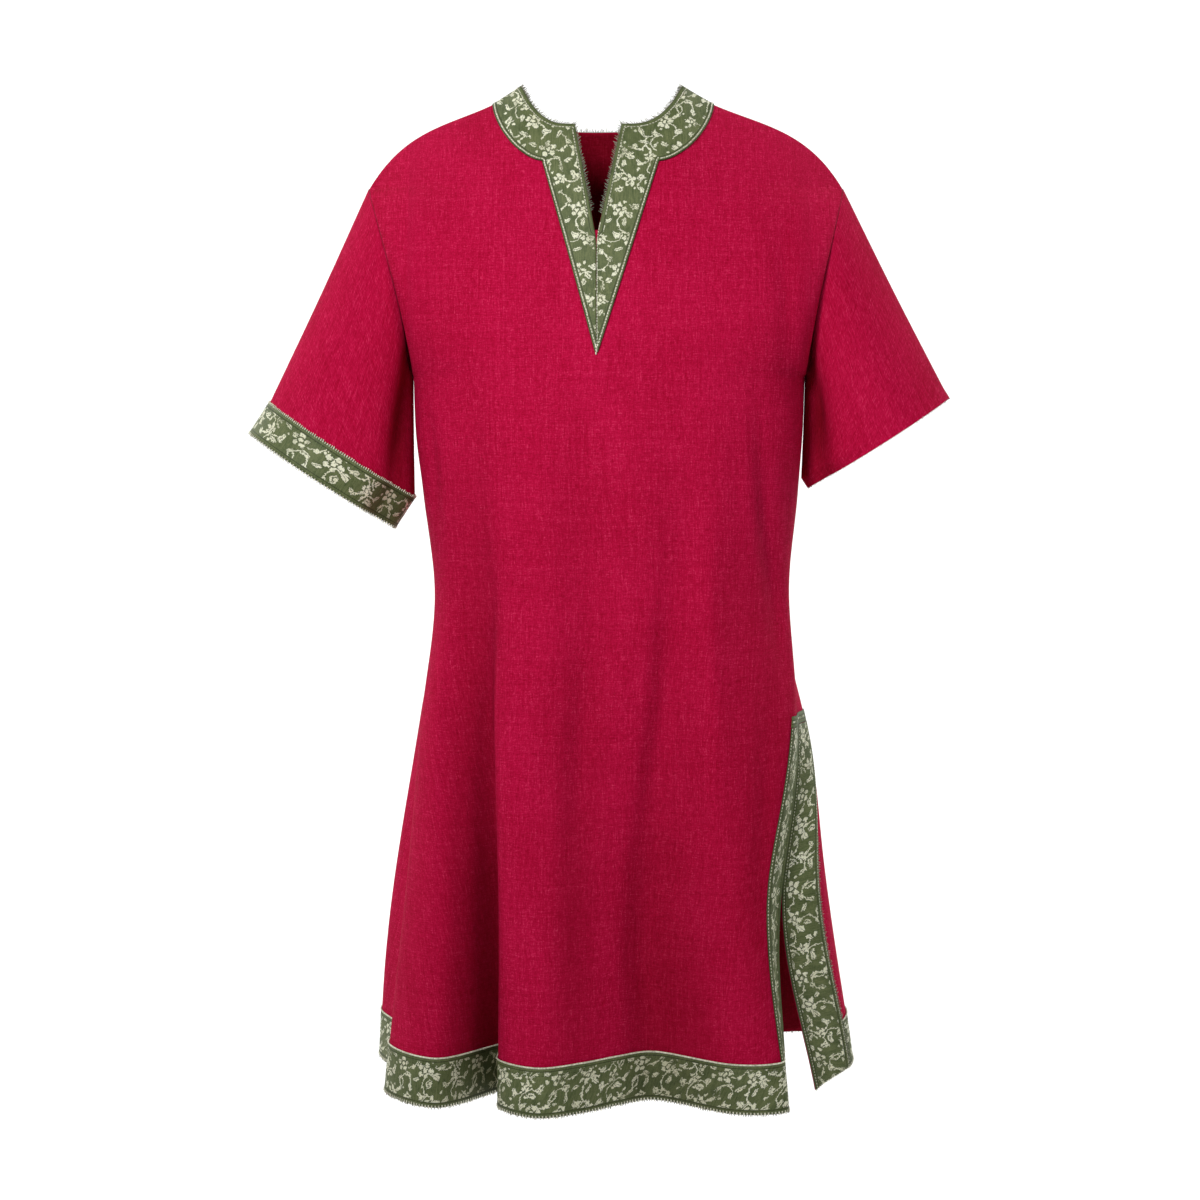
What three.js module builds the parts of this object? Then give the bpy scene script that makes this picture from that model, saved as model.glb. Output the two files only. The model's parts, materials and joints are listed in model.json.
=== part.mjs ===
// A short-sleeved tunic, filled out as it is worn: crimson cloth with green brocade bands.
// Millimetres, +Z up. The origin lies between the two neck points, at the shoulders.
// The front faces -Y and the wearer's right arm is on the -X side.
import * as THREE from 'three';

// ---- Cloth and trim --------------------------------------------------------------
const CLOTH = 1.6;
const TRIM = 1.2;
const SEAM_GAP = 0.3;
const NECK_TRIM_LIFT = 1.3;

// ---- Driving sizes of the body -----------------------------------------------------
const UNDERARM = 300;
const HEM_BAND = 51;
const HEM = 1046;
const SLIT_TOP = 650;
const SLIT_BAR = 12;
const SLIT_MEETS = 824;
const ROUNDNESS = 0.88;

// ---- Driving sizes of the neck and shoulders -----------------------------------------
const NECK_HALF = 83;
const SHOULDER_HALF = 246;
const SHOULDER_DROP = 106;
const SHOULDER_SLOPE = 0.29;
const COLLAR_RISE = 14;
const COLLAR_RUN = 26;
const NECK_DEPTH = 46;
const BACK_NECK_DEPTH = 40;
const NECK_SLIT_HALF = 23.5;
const NECK_SLIT_END = 157;
const NECK_SLIT_TIP = 1.5;
const NECK_LEAN = -10;
const LEAN_END = 560;
const SHOULDER_SEAM_Y = -5;
const ARMHOLE_BULGE = 50;
const ARMHOLE_GAP = 1.5;

// ---- Driving sizes of the neck band -------------------------------------------------
const BAND_TIP = 278;
const BAND_TIP_WIDTH = 1.6;
const BAND_KNEE = { x: 59, z: -84 };
const BAND_SHOULDER = 114;
const BACK_BAND = 38;

// ---- Driving sizes of the sleeves and the cuff --------------------------------------
// Each sleeve: the ends of its lower edge in a front view, the length of the straight cuff
// above that edge, and half the depth of the tube there.
const SLEEVES = {
  right: { side: -1, outer: { x: 372, z: -358 }, inner: { x: 221, z: -457 }, cuff: 38, halfDepth: 57 },
  left: { side: 1, outer: { x: 359, z: -321 }, inner: { x: 211, z: -416 }, cuff: 12, halfDepth: 57 },
};

// The neck point and the corner of the neck slit, as shares of the shoulder's half width.
const NECK_SHARE = NECK_HALF / SHOULDER_HALF;
const CORNER_SHARE = NECK_SLIT_HALF / SHOULDER_HALF;

// Level sections of the body below the arms: half widths and depths from the origin.
const SECTIONS = [
  { level: 300, right: 201, left: 208, front: 118, back: 112 },
  { level: 360, right: 198, left: 206, front: 121, back: 114 },
  { level: 420, right: 190, left: 200, front: 119, back: 112 },
  { level: 530, right: 179, left: 188, front: 110, back: 101 },
  { level: 660, right: 200, left: 204, front: 104, back: 104 },
  { level: 820, right: 224, left: 230, front: 104, back: 118 },
  { level: 930, right: 237, left: 244, front: 104, back: 127 },
  { level: 1046, right: 247, left: 257, front: 104, back: 134 },
];

// Fold lines, each a row: its place across the bust as a share of the half width; its turn
// round the body in degrees from the front (wearer's left positive) and how far it stands out
// of the plain section, both at waist, thigh and hem; the level of the hem there; and the
// number of columns of cloth to the next line.
const FRONT_FOLDS = [
  { name: 'side seam', bust: -1, turn: [-90, -89, -90], out: [0, -20, -25], hem: 1038, columns: 3 },
  { name: 'side edge', bust: -0.95, turn: [-77, -68, -69], out: [2, -4, -2], hem: 1047, columns: 3 },
  { name: 'side roll', bust: -0.82, turn: [-61, -46, -41], out: [2, 5, 15], hem: 1050, columns: 5 },
  { name: 'valley', bust: -0.64, turn: [-40, -30, -26], out: [-8, -49, -71], hem: 1050, columns: 5 },
  { name: 'valley edge', bust: -0.53, turn: [-33, -25, -23], out: [-1, 9, 5], hem: 1049, columns: 4 },
  { name: 'main roll', bust: -NECK_SHARE, turn: [-19, -14, -13], out: [3, 21, 33], hem: 1050, columns: 6 },
  { name: 'dip', bust: -CORNER_SHARE, turn: [-4, -5, -4], out: [-8, 5, 18], hem: 1048, columns: 4 },
  { name: 'centre roll', bust: CORNER_SHARE, turn: [10, 2, 2], out: [-1, -7, -6], hem: 1046, columns: 6 },
  { name: 'left dip', bust: NECK_SHARE, turn: [19, 10, 9], out: [-5, -19, -25], hem: 1046, columns: 6 },
  { name: 'left roll', bust: 0.6, turn: [32, 27, 27], out: [5, 15, 27], hem: 1050, columns: 4 },
  { name: 'trim edge', bust: 0.88, turn: [74, 40, 39], out: [6, 27, 38], hem: 1048, columns: 4 },
  { name: 'slit edge', bust: 1, turn: [96, 50, 44], out: [1, 0, -2], hem: 1047, columns: 0 },
];
const BACK_FOLDS = [
  { name: 'slit edge', bust: 1, turn: [96, 50, 44], out: [1, 0, -2], hem: 1048, columns: 4 },
  { name: 'trim edge', bust: 0.97, turn: [113, 67, 81], out: [4, 9, 6], hem: 1024, columns: 3 },
  { name: 'left side', bust: 0.88, turn: [122, 90, 100], out: [7, 1, 8], hem: 1018, columns: 3 },
  { name: 'left roll', bust: 0.72, turn: [136, 124, 124], out: [9, 14, 28], hem: 1018, columns: 3 },
  { name: 'left dip', bust: 0.53, turn: [150, 144, 141], out: [1, -7, -17], hem: 1017, columns: 4 },
  { name: 'left back', bust: NECK_SHARE, turn: [164, 163, 162], out: [3, 12, 22], hem: 1019, columns: 5 },
  { name: 'spine', bust: 0, turn: [178, 178, 178], out: [-4, -23, -36], hem: 1017, columns: 5 },
  { name: 'right back', bust: -NECK_SHARE, turn: [192, 193, 193], out: [2, 11, 21], hem: 1019, columns: 4 },
  { name: 'right dip', bust: -0.53, turn: [209, 210, 212], out: [1, -10, -23], hem: 1017, columns: 3 },
  { name: 'right roll', bust: -0.74, turn: [226, 229, 226], out: [8, 19, 34], hem: 1020, columns: 3 },
  { name: 'side roll', bust: -0.94, turn: [248, 254, 246], out: [7, 10, 24], hem: 1032, columns: 3 },
  { name: 'side seam', bust: -1, turn: [270, 271, 270], out: [0, -20, -25], hem: 1038, columns: 0 },
];
const FOLD_LEVELS = [UNDERARM, 530, 820, HEM];
// The back corner of the slit swings out of line with the front below where the trims meet.
const SLIT_SWING = { x: 34, y: 41, power: 1.3 };

// Levels of the rows of cloth below the underarm, down to the hem band. Rows below the place
// where the slit opens are stretched to follow the hem.
const ROW_LEVELS = [
  UNDERARM, 350, 405, 460, 515, 560, 605, SLIT_TOP, SLIT_TOP + SLIT_BAR, 715, 770, SLIT_MEETS, 881, 938,
];
const YOKE_ROWS = 11;
const TRIM_ROWS = 2;

// A sleeve's folds: place round the tube as a share from the shoulder over the front.
const SLEEVE_FOLDS = [
  { name: 'front underarm fold', at: 0.41, width: 0.055, depth: [4, 15, 12] },
  { name: 'front roll', at: 0.22, width: 0.07, depth: [0, -3, -4] },
  { name: 'back underarm fold', at: 0.64, width: 0.05, depth: [3, 10, 8] },
  { name: 'back roll', at: 0.8, width: 0.07, depth: [0, -3, -4] },
  { name: 'outer sag', at: 0, width: 0.1, depth: [0, 1, 0] },
];
// The way outwards from the sleeve's middle towards its outer edge, side on.
const SLEEVE_TURN = { x: 0.85, z: 0.53 };
const SLEEVE_COLUMNS = 36;
const SLEEVE_ROWS = 9;

// ---- Colours -------------------------------------------------------------------------
const clothFinish = () => new THREE.MeshStandardMaterial({
  color: 0xab1340, roughness: 0.9, metalness: 0,
});
const brocadeFinish = () => new THREE.MeshStandardMaterial({
  color: 0x66703f, roughness: 0.75, metalness: 0,
});

// ---- Small maths -----------------------------------------------------------------------
const lerp = THREE.MathUtils.lerp;
const clamp01 = (value) => THREE.MathUtils.clamp(value, 0, 1);
const signedPower = (value, power) => Math.sign(value) * Math.abs(value) ** power;

// A smooth curve through values given at rising stations (cubic Hermite).
function smoothAlong(stations, values, at) {
  const last = stations.length - 1;
  const place = THREE.MathUtils.clamp(at, stations[0], stations[last]);
  let i = 0;
  while (i < last - 1 && place > stations[i + 1]) {
    i += 1;
  }
  const slope = (j) => {
    const a = Math.max(j - 1, 0);
    const b = Math.min(j + 1, last);
    return (values[b] - values[a]) / (stations[b] - stations[a]);
  };
  const span = stations[i + 1] - stations[i];
  const t = (place - stations[i]) / span;
  const t2 = t * t;
  const t3 = t2 * t;
  const ends = (2 * t3 - 3 * t2 + 1) * values[i] + (3 * t2 - 2 * t3) * values[i + 1];
  return ends + span * ((t3 - 2 * t2 + t) * slope(i) + (t3 - t2) * slope(i + 1));
}

// ---- The body below the arms: a ring of fold lines at each level ------------------------
const sectionLevels = SECTIONS.map((row) => row.level);

function sectionAt(level) {
  const size = (key) => smoothAlong(sectionLevels, SECTIONS.map((row) => row[key]), level);
  return { right: size('right'), left: size('left'), front: size('front'), back: size('back') };
}

// A point of the plain rounded section, moved out along the section's own normal.
function sectionPoint(turn, out, level) {
  const size = sectionAt(level);
  const angle = THREE.MathUtils.degToRad(turn);
  const sin = Math.sin(angle);
  const cos = Math.cos(angle);
  const width = sin > 0 ? size.left : size.right;
  const depth = cos > 0 ? size.front : size.back;
  const normal = new THREE.Vector2(sin / width, -cos / depth).normalize();
  return new THREE.Vector2(
    width * signedPower(sin, ROUNDNESS) + out * normal.x,
    -depth * signedPower(cos, ROUNDNESS) + out * normal.y,
  );
}

// At the underarm the fold lines stand at their shares of the half width.
function bustTurn(row, folds) {
  const turn = THREE.MathUtils.radToDeg(Math.asin(signedPower(row.bust, 1 / ROUNDNESS)));
  return folds === FRONT_FOLDS ? turn : 180 - turn;
}

function foldPoint(row, folds, level) {
  const turn = smoothAlong(FOLD_LEVELS, [bustTurn(row, folds), ...row.turn], level);
  const out = smoothAlong(FOLD_LEVELS, [0, ...row.out], level);
  const point = sectionPoint(turn, out, level);
  if (folds === BACK_FOLDS && row.name === 'slit edge' && level > SLIT_MEETS) {
    const share = ((level - SLIT_MEETS) / (HEM - SLIT_MEETS)) ** SLIT_SWING.power;
    point.x += SLIT_SWING.x * share;
    point.y += SLIT_SWING.y * share;
  }
  return new THREE.Vector3(point.x, point.y, 0);
}

// The whole ring at a level as one closed curve; a panel's columns are read off it.
const panelCurves = new Map();

function panelCurve(folds, level) {
  const key = `${folds === FRONT_FOLDS ? 'front' : 'back'} ${level.toFixed(2)}`;
  if (!panelCurves.has(key)) {
    const other = folds === FRONT_FOLDS ? BACK_FOLDS : FRONT_FOLDS;
    const before = foldPoint(other[other.length - 2], other, level);
    const after = foldPoint(other[1], other, level);
    const points = folds.map((row) => foldPoint(row, folds, level));
    const curve = new THREE.CatmullRomCurve3([before, ...points, after], false, 'centripetal');
    panelCurves.set(key, curve);
  }
  return panelCurves.get(key);
}

// Columns of a panel as places along its list of fold lines: 0 at the first line.
function columnPlaces(folds) {
  const places = [];
  folds.forEach((row, i) => {
    for (let step = 0; step < row.columns; step += 1) {
      places.push(i + step / row.columns);
    }
  });
  places.push(folds.length - 1);
  return places;
}

// The neck and chest lean a little to the wearer's right of the body's centre line.
function leanAt(share, z) {
  const settle = THREE.MathUtils.smoothstep(z, -LEAN_END, -UNDERARM);
  return NECK_LEAN * clamp01(1 - Math.abs(share)) ** 2 * settle;
}

function lowerPoint(folds, place, level) {
  const spans = folds.length + 1;
  const point = panelCurve(folds, level).getPoint((place + 1) / spans);
  return new THREE.Vector3(point.x, point.y, -level);
}

// ---- The yoke: shoulders, neck and armholes above the underarm ---------------------------
const halfWidth = (x) => (x > 0 ? SECTIONS[0].left : SECTIONS[0].right);

function shoulderHeight(x) {
  const run = Math.abs(x) - NECK_HALF;
  const full = SHOULDER_HALF - NECK_HALF;
  const collar = COLLAR_RISE * (1 - Math.exp(-Math.max(run, 0) / COLLAR_RUN));
  const roll = SHOULDER_DROP - COLLAR_RISE - SHOULDER_SLOPE * full;
  return -SHOULDER_SLOPE * run - collar - roll * clamp01(run / full) ** 5;
}

function armholeX(side, z) {
  const share = clamp01((z + UNDERARM) / (UNDERARM - SHOULDER_DROP));
  return lerp(halfWidth(side), SHOULDER_HALF, share ** 1.4);
}

function armholeY(z, face) {
  const share = clamp01((-SHOULDER_DROP - z) / (UNDERARM - SHOULDER_DROP));
  const bulge = ARMHOLE_BULGE * (4 * share * (1 - share)) ** 0.6;
  return (SHOULDER_SEAM_Y + face * SEAM_GAP) * (1 - share) + face * bulge;
}

// How quickly the cloth leaves the shoulder line: reach is a length down the body.
const FACES = {
  front: { face: -1, reach: 200, power: 0.8 },
  back: { face: 1, reach: 120, power: 0.8 },
};

function yokeY(x, z, side) {
  const { face, reach, power } = FACES[side];
  const fall = (drop) => (Math.max(drop, 0) / (Math.max(drop, 0) + reach)) ** power;
  const share = Math.min(Math.abs(x) / armholeX(x, z), 1);
  const crown = (1 - share ** (2 / ROUNDNESS)) ** (ROUNDNESS / 2);
  const full = face < 0 ? -SECTIONS[0].front : SECTIONS[0].back;
  const top = shoulderHeight(x);
  const seam = SHOULDER_SEAM_Y + face * SEAM_GAP;
  const centre = lerp(seam, full, fall(top - z) / fall(top + UNDERARM));
  return lerp(armholeY(z, face), centre, crown);
}

function yokePoint(x, z, side) {
  return new THREE.Vector3(x + leanAt(x / armholeX(x, z), z), yokeY(x, z, side), z);
}

// The neck edges, as heights over the distance from the centre line.
function neckHeight(x, side) {
  const reach = Math.abs(x);
  if (reach > NECK_HALF) {
    return Math.min(shoulderHeight(x), 0);
  }
  if (side === 'back') {
    return -BACK_NECK_DEPTH * (1 - (reach / NECK_HALF) ** 4);
  }
  if (reach > NECK_SLIT_HALF) {
    const share = (reach - NECK_SLIT_HALF) / (NECK_HALF - NECK_SLIT_HALF);
    return -NECK_DEPTH * (1 - share ** 2.9);
  }
  const share = clamp01((reach - NECK_SLIT_TIP) / (NECK_SLIT_HALF - NECK_SLIT_TIP));
  return lerp(-NECK_SLIT_END, -NECK_DEPTH, share);
}

// Columns run straight up from the underarm level to the neck, the shoulder or the armhole.
function upperPoint(folds, place, share) {
  const side = folds === FRONT_FOLDS ? 'front' : 'back';
  const foot = lowerPoint(folds, place, UNDERARM);
  const footShare = THREE.MathUtils.clamp(foot.x / halfWidth(foot.x), -1, 1);
  const line = Math.min(Math.floor(place), folds.length - 2);
  const topShare = lerp(folds[line].bust, folds[line + 1].bust, place - line);
  const across = lerp(topShare, footShare, share);
  const z = lerp(neckHeight(topShare * SHOULDER_HALF, side), -UNDERARM, share);
  return yokePoint(across * armholeX(across, z), z, side);
}

// ---- Whole panels -------------------------------------------------------------------------
function hemLevel(folds, place) {
  return smoothAlong(folds.map((row, i) => i), folds.map((row) => row.hem), place);
}

// Rows of a panel: -1 is the shoulder and neck edge, 0 the underarm, 1 the top of the hem
// band and 2 the hem itself.
function levelOf(folds, place, row) {
  const hem = hemLevel(folds, place);
  const top = hem - HEM_BAND;
  if (row > 1) {
    return lerp(top, hem, row - 1);
  }
  const level = lerp(UNDERARM, HEM - HEM_BAND, row);
  const stretch = (top - SLIT_MEETS) / (HEM - HEM_BAND - SLIT_MEETS);
  return level < SLIT_MEETS ? level : SLIT_MEETS + (level - SLIT_MEETS) * stretch;
}

const rowOfLevel = (level) => (level - UNDERARM) / (HEM - HEM_BAND - UNDERARM);

function panelPoint(folds, place, row) {
  if (row < 0) {
    return upperPoint(folds, place, 1 + row);
  }
  const point = lowerPoint(folds, place, levelOf(folds, place, row));
  point.x += leanAt(point.x / halfWidth(point.x), point.z);
  return point;
}

const BODY_ROWS = ROW_LEVELS.map(rowOfLevel);
const HEM_ROWS = [...Array(TRIM_ROWS + 1).keys()].map((i) => 1 + i / TRIM_ROWS);
const YOKE_SHARES = [...Array(YOKE_ROWS).keys()].map((i) => (i / YOKE_ROWS) ** 1.25 - 1);

// ---- Walls ------------------------------------------------------------------------------------
// The direction of a line of points at one of them, halfway between its two chords.
function lineDirection(before, point, after) {
  const direction = new THREE.Vector3();
  [[before, point], [point, after]].forEach(([from, to]) => {
    direction.add(to.clone().sub(from).normalize());
  });
  return direction.normalize();
}

// The outward normals of a grid of points whose columns run to the right and rows down, seen
// from outside.
function gridNormals(grid, tube) {
  const wide = grid[0].length;
  return grid.map((line, row) => line.map((point, column) => {
    const left = tube ? (column + wide - 1) % wide : Math.max(column - 1, 0);
    const right = tube ? (column + 1) % wide : Math.min(column + 1, wide - 1);
    const above = grid[Math.max(row - 1, 0)][column];
    const below = grid[Math.min(row + 1, grid.length - 1)][column];
    const across = lineDirection(line[left], point, line[right]);
    const down = lineDirection(above, point, below);
    return down.cross(across).normalize();
  }));
}

function geometryFrom(points, triangles) {
  const geometry = new THREE.BufferGeometry();
  geometry.setAttribute('position', new THREE.Float32BufferAttribute(
    points.flatMap((point) => [point.x, point.y, point.z]), 3,
  ));
  geometry.setIndex(triangles);
  geometry.computeVertexNormals();
  return geometry;
}

// A closed wall over a grid of sheet points, from `inner` to `outer` along the normals. The
// walls of two panels that meet at the shoulder share upright normals along that seam.
function wallGeometry({ columns, rows, pointAt, inner, outer, tube = false, seamRow = -1 }) {
  const points = [];
  const triangles = [];
  const wide = columns.length;
  const grid = rows.map((v) => columns.map((u) => pointAt(u, v)));
  const normals = gridNormals(grid, tube);
  if (seamRow >= 0) {
    normals[seamRow].forEach((normal) => normal.setY(0).normalize());
  }
  [outer, inner].forEach((offset) => {
    grid.forEach((line, row) => line.forEach((point, column) => {
      points.push(point.clone().addScaledVector(normals[row][column], offset));
    }));
  });
  const skin = wide * rows.length;
  const index = (column, row, side) => side * skin + row * wide + (column % wide);
  const quad = (a, b, c, d) => triangles.push(a, b, c, a, c, d);
  const spans = tube ? wide : wide - 1;
  for (let row = 0; row < rows.length - 1; row += 1) {
    for (let column = 0; column < spans; column += 1) {
      const corners = (side) => [
        index(column, row, side), index(column, row + 1, side),
        index(column + 1, row + 1, side), index(column + 1, row, side),
      ];
      const [a, b, c, d] = corners(0);
      quad(a, b, c, d);
      const [e, f, g, h] = corners(1);
      quad(e, h, g, f);
    }
  }
  for (let column = 0; column < spans; column += 1) {
    const last = rows.length - 1;
    quad(index(column, 0, 1), index(column, 0, 0), index(column + 1, 0, 0), index(column + 1, 0, 1));
    quad(
      index(column, last, 0), index(column, last, 1),
      index(column + 1, last, 1), index(column + 1, last, 0),
    );
  }
  if (!tube) {
    for (let row = 0; row < rows.length - 1; row += 1) {
      const last = wide - 1;
      quad(index(0, row, 1), index(0, row + 1, 1), index(0, row + 1, 0), index(0, row, 0));
      quad(
        index(last, row, 0), index(last, row + 1, 0),
        index(last, row + 1, 1), index(last, row, 1),
      );
    }
  }
  return geometryFrom(points, triangles);
}

const tunic = new THREE.Group();

function addMesh(name, geometry, material) {
  const mesh = new THREE.Mesh(geometry, material);
  mesh.name = name;
  tunic.add(mesh);
}

// ---- Front and back -----------------------------------------------------------------------------
// A panel's outer columns stop just short of the seam, so that two panels never touch.
const SEAM_INSET = 0.02;

function panelColumns(folds, from = 0, to = folds.length - 1) {
  const last = folds.length - 1;
  const inset = columnPlaces(folds).map((place) => (
    THREE.MathUtils.clamp(place, SEAM_INSET, last - SEAM_INSET)
  ));
  return inset.filter((place) => place >= from && place <= to);
}

function addPanel(name, folds) {
  addMesh(name, wallGeometry({
    columns: panelColumns(folds),
    rows: [...YOKE_SHARES, ...BODY_ROWS, ...HEM_ROWS],
    pointAt: (u, v) => panelPoint(folds, u, v),
    inner: -CLOTH,
    outer: 0,
    seamRow: 0,
  }), clothFinish());
}

// A band that lies on a panel is made from the panel's own points, moved out.
function addPanelTrim(name, folds, columns, rows) {
  addMesh(name, wallGeometry({
    columns,
    rows,
    pointAt: (u, v) => panelPoint(folds, u, v),
    inner: SEAM_GAP,
    outer: SEAM_GAP + TRIM,
  }), brocadeFinish());
}

addPanel('body_front', FRONT_FOLDS);
addPanel('body_back', BACK_FOLDS);

// ---- Hem bands and the trimmed side slit ------------------------------------------------------
const frontTrimEdge = FRONT_FOLDS.findIndex((row) => row.name === 'trim edge');
const backTrimEdge = BACK_FOLDS.findIndex((row) => row.name === 'trim edge');
const SLIT_ROWS = BODY_ROWS.filter((row) => row >= rowOfLevel(SLIT_TOP + SLIT_BAR));
const HEM_TOP_GAP = rowOfLevel(HEM - HEM_BAND - SEAM_GAP);

addPanelTrim('hem_band_front', FRONT_FOLDS, panelColumns(FRONT_FOLDS), HEM_ROWS);
addPanelTrim('hem_band_back', BACK_FOLDS, [
  backTrimEdge + SEAM_INSET, ...panelColumns(BACK_FOLDS, backTrimEdge + 0.1),
], HEM_ROWS);
addPanelTrim('slit_band_front', FRONT_FOLDS, panelColumns(FRONT_FOLDS, frontTrimEdge), [
  ...SLIT_ROWS, HEM_TOP_GAP,
]);
addPanelTrim('slit_band_back', BACK_FOLDS, panelColumns(BACK_FOLDS, 0, backTrimEdge), [
  ...SLIT_ROWS, ...HEM_ROWS,
]);

// The bar runs from the front panel over the side seam to the back panel.
function barPlace(u) {
  const front = FRONT_FOLDS.length - 1 + u;
  return u < 0 ? { folds: FRONT_FOLDS, place: front } : { folds: BACK_FOLDS, place: u };
}

addMesh('slit_bar', wallGeometry({
  columns: [
    ...panelColumns(FRONT_FOLDS, frontTrimEdge).map((place) => place - FRONT_FOLDS.length + 1),
    ...panelColumns(BACK_FOLDS, 0, backTrimEdge),
  ],
  rows: [rowOfLevel(SLIT_TOP), rowOfLevel(SLIT_TOP + SLIT_BAR - SEAM_GAP)],
  pointAt: (u, v) => panelPoint(barPlace(u).folds, barPlace(u).place, v),
  inner: SEAM_GAP,
  outer: SEAM_GAP + TRIM,
}), brocadeFinish());

// ---- Neck bands --------------------------------------------------------------------------------
// Each edge of a front band is drawn from the tip of the V up to the shoulder, for along from
// 0 to 1: the V part, past the end of the neck slit to the corner, and then round the neck.
const ALONG_SLIT_END = 0.3;
const ALONG_CORNER = 0.62;
const SHOULDER_END_DROP = 1.2;

function bandInnerEdge(along) {
  if (along < ALONG_SLIT_END) {
    const share = along / ALONG_SLIT_END;
    const x = SEAM_GAP + NECK_SLIT_TIP * share ** 6;
    return { x, z: lerp(-BAND_TIP, -NECK_SLIT_END, share) };
  }
  if (along < ALONG_CORNER) {
    const share = (along - ALONG_SLIT_END) / (ALONG_CORNER - ALONG_SLIT_END);
    const x = lerp(NECK_SLIT_TIP + SEAM_GAP, NECK_SLIT_HALF, share);
    return { x, z: neckHeight(x, 'front') };
  }
  const share = (along - ALONG_CORNER) / (1 - ALONG_CORNER);
  const x = lerp(NECK_SLIT_HALF, NECK_HALF, share ** 0.75);
  return { x, z: neckHeight(x, 'front') - SHOULDER_END_DROP * share };
}

function bandOuterEdge(along) {
  if (along < ALONG_CORNER) {
    const bend = 0.57;
    const share = along < ALONG_SLIT_END ? bend * (along / ALONG_SLIT_END)
      : lerp(bend, 1, (along - ALONG_SLIT_END) / (ALONG_CORNER - ALONG_SLIT_END));
    return {
      x: lerp(BAND_TIP_WIDTH, BAND_KNEE.x, share),
      z: lerp(-BAND_TIP, BAND_KNEE.z, share),
    };
  }
  const share = (along - ALONG_CORNER) / (1 - ALONG_CORNER);
  const angle = (share * Math.PI) / 2;
  const top = shoulderHeight(BAND_SHOULDER) - SHOULDER_END_DROP;
  return {
    x: lerp(BAND_KNEE.x, BAND_SHOULDER, Math.sin(angle) ** 1.2),
    z: lerp(top, BAND_KNEE.z, Math.max(Math.cos(angle), 0) ** 1.3),
  };
}

function addNeckBand(name, pointAt, columns, rows) {
  addMesh(name, wallGeometry({
    columns,
    rows,
    pointAt,
    inner: NECK_TRIM_LIFT,
    outer: NECK_TRIM_LIFT + TRIM,
  }), brocadeFinish());
}

const BAND_ROWS = [0, 0.25, 0.5, 0.75, 1];
const BAND_STATIONS = [0, 0.06, 0.12, 0.18, 0.24, ALONG_SLIT_END, 0.38, 0.46, 0.54, ALONG_CORNER]
  .concat([0.67, 0.72, 0.77, 0.82, 0.87, 0.91, 0.94, 0.97, 1]);

// Columns run to the right seen from outside: up the V on the wearer's left, down it on the
// wearer's right.
function addFrontNeckBand(name, hand) {
  const pointAt = (u, v) => {
    const along = hand > 0 ? u : -u;
    const inner = bandInnerEdge(along);
    const outer = bandOuterEdge(along);
    return yokePoint(hand * lerp(inner.x, outer.x, v), lerp(inner.z, outer.z, v), 'front');
  };
  const columns = hand > 0 ? BAND_STATIONS : BAND_STATIONS.map((along) => -along).reverse();
  addNeckBand(name, pointAt, columns, BAND_ROWS);
}

addFrontNeckBand('neck_band_front_right', -1);
addFrontNeckBand('neck_band_front_left', 1);

function backBandPoint(u, v) {
  const sweep = Math.sin((u * Math.PI) / 2);
  const reach = Math.abs(sweep);
  const drop = SHOULDER_END_DROP * reach;
  const low = -BACK_NECK_DEPTH - BACK_BAND;
  const inner = { x: -NECK_HALF * sweep, z: neckHeight(NECK_HALF * sweep, 'back') - drop };
  const outer = {
    x: -BAND_SHOULDER * sweep,
    z: lerp(low, shoulderHeight(BAND_SHOULDER), reach ** 3.2) - drop,
  };
  return yokePoint(lerp(inner.x, outer.x, v), lerp(inner.z, outer.z, v), 'back');
}

const BACK_BAND_STATIONS = [...Array(19).keys()].map((i) => i / 9 - 1);
addNeckBand('neck_band_back', backBandPoint, BACK_BAND_STATIONS, BAND_ROWS);

// ---- Sleeves -----------------------------------------------------------------------------------
// Round the tube, share 0 is the shoulder, a quarter the front, a half the underarm.
function armholePoint(side, share) {
  const fall = (1 - Math.cos(share * 2 * Math.PI)) / 2;
  const z = lerp(-SHOULDER_DROP, -UNDERARM, fall);
  const face = share < 0.5 ? -1 : 1;
  return new THREE.Vector3(side * (armholeX(side, z) + ARMHOLE_GAP), armholeY(z, face), z);
}

function cuffPoint(sleeve, share, row) {
  const { side, outer, inner, cuff, halfDepth } = sleeve;
  const edge = new THREE.Vector2(inner.x - outer.x, inner.z - outer.z).normalize();
  const rise = cuff * (2 - Math.max(row, 1));
  const angle = share * 2 * Math.PI;
  const reach = (1 + Math.cos(angle)) / 2;
  return new THREE.Vector3(
    side * (lerp(inner.x, outer.x, reach) + edge.y * rise),
    -halfDepth * Math.sin(angle),
    lerp(inner.z, outer.z, reach) - edge.x * rise,
  );
}

// Rows: 0 is the armhole, 1 the top of the straight cuff and 2 its lower edge.
function sleevePoint(sleeve, u, row) {
  const share = ((sleeve.side < 0 ? u : 1 - u) + 1) % 1;
  const down = Math.min(row, 1);
  const head = armholePoint(sleeve.side, share);
  const point = head.clone().lerp(cuffPoint(sleeve, share, row), down);
  const outwards = new THREE.Vector3(
    sleeve.side * SLEEVE_TURN.x * Math.cos(share * 2 * Math.PI),
    -Math.sin(share * 2 * Math.PI),
    SLEEVE_TURN.z * Math.cos(share * 2 * Math.PI),
  );
  SLEEVE_FOLDS.forEach((fold) => {
    const away = Math.abs(share - fold.at);
    const place = Math.min(away, 1 - away) / fold.width;
    const depth = smoothAlong([0, 0.5, 1], fold.depth, down);
    point.addScaledVector(outwards, -depth * Math.exp(-place * place));
  });
  return point;
}

const SLEEVE_SHARES = [...Array(SLEEVE_COLUMNS).keys()].map((i) => i / SLEEVE_COLUMNS);
const SLEEVE_STEPS = [...Array(SLEEVE_ROWS).keys()].map((i) => i / SLEEVE_ROWS);

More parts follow.
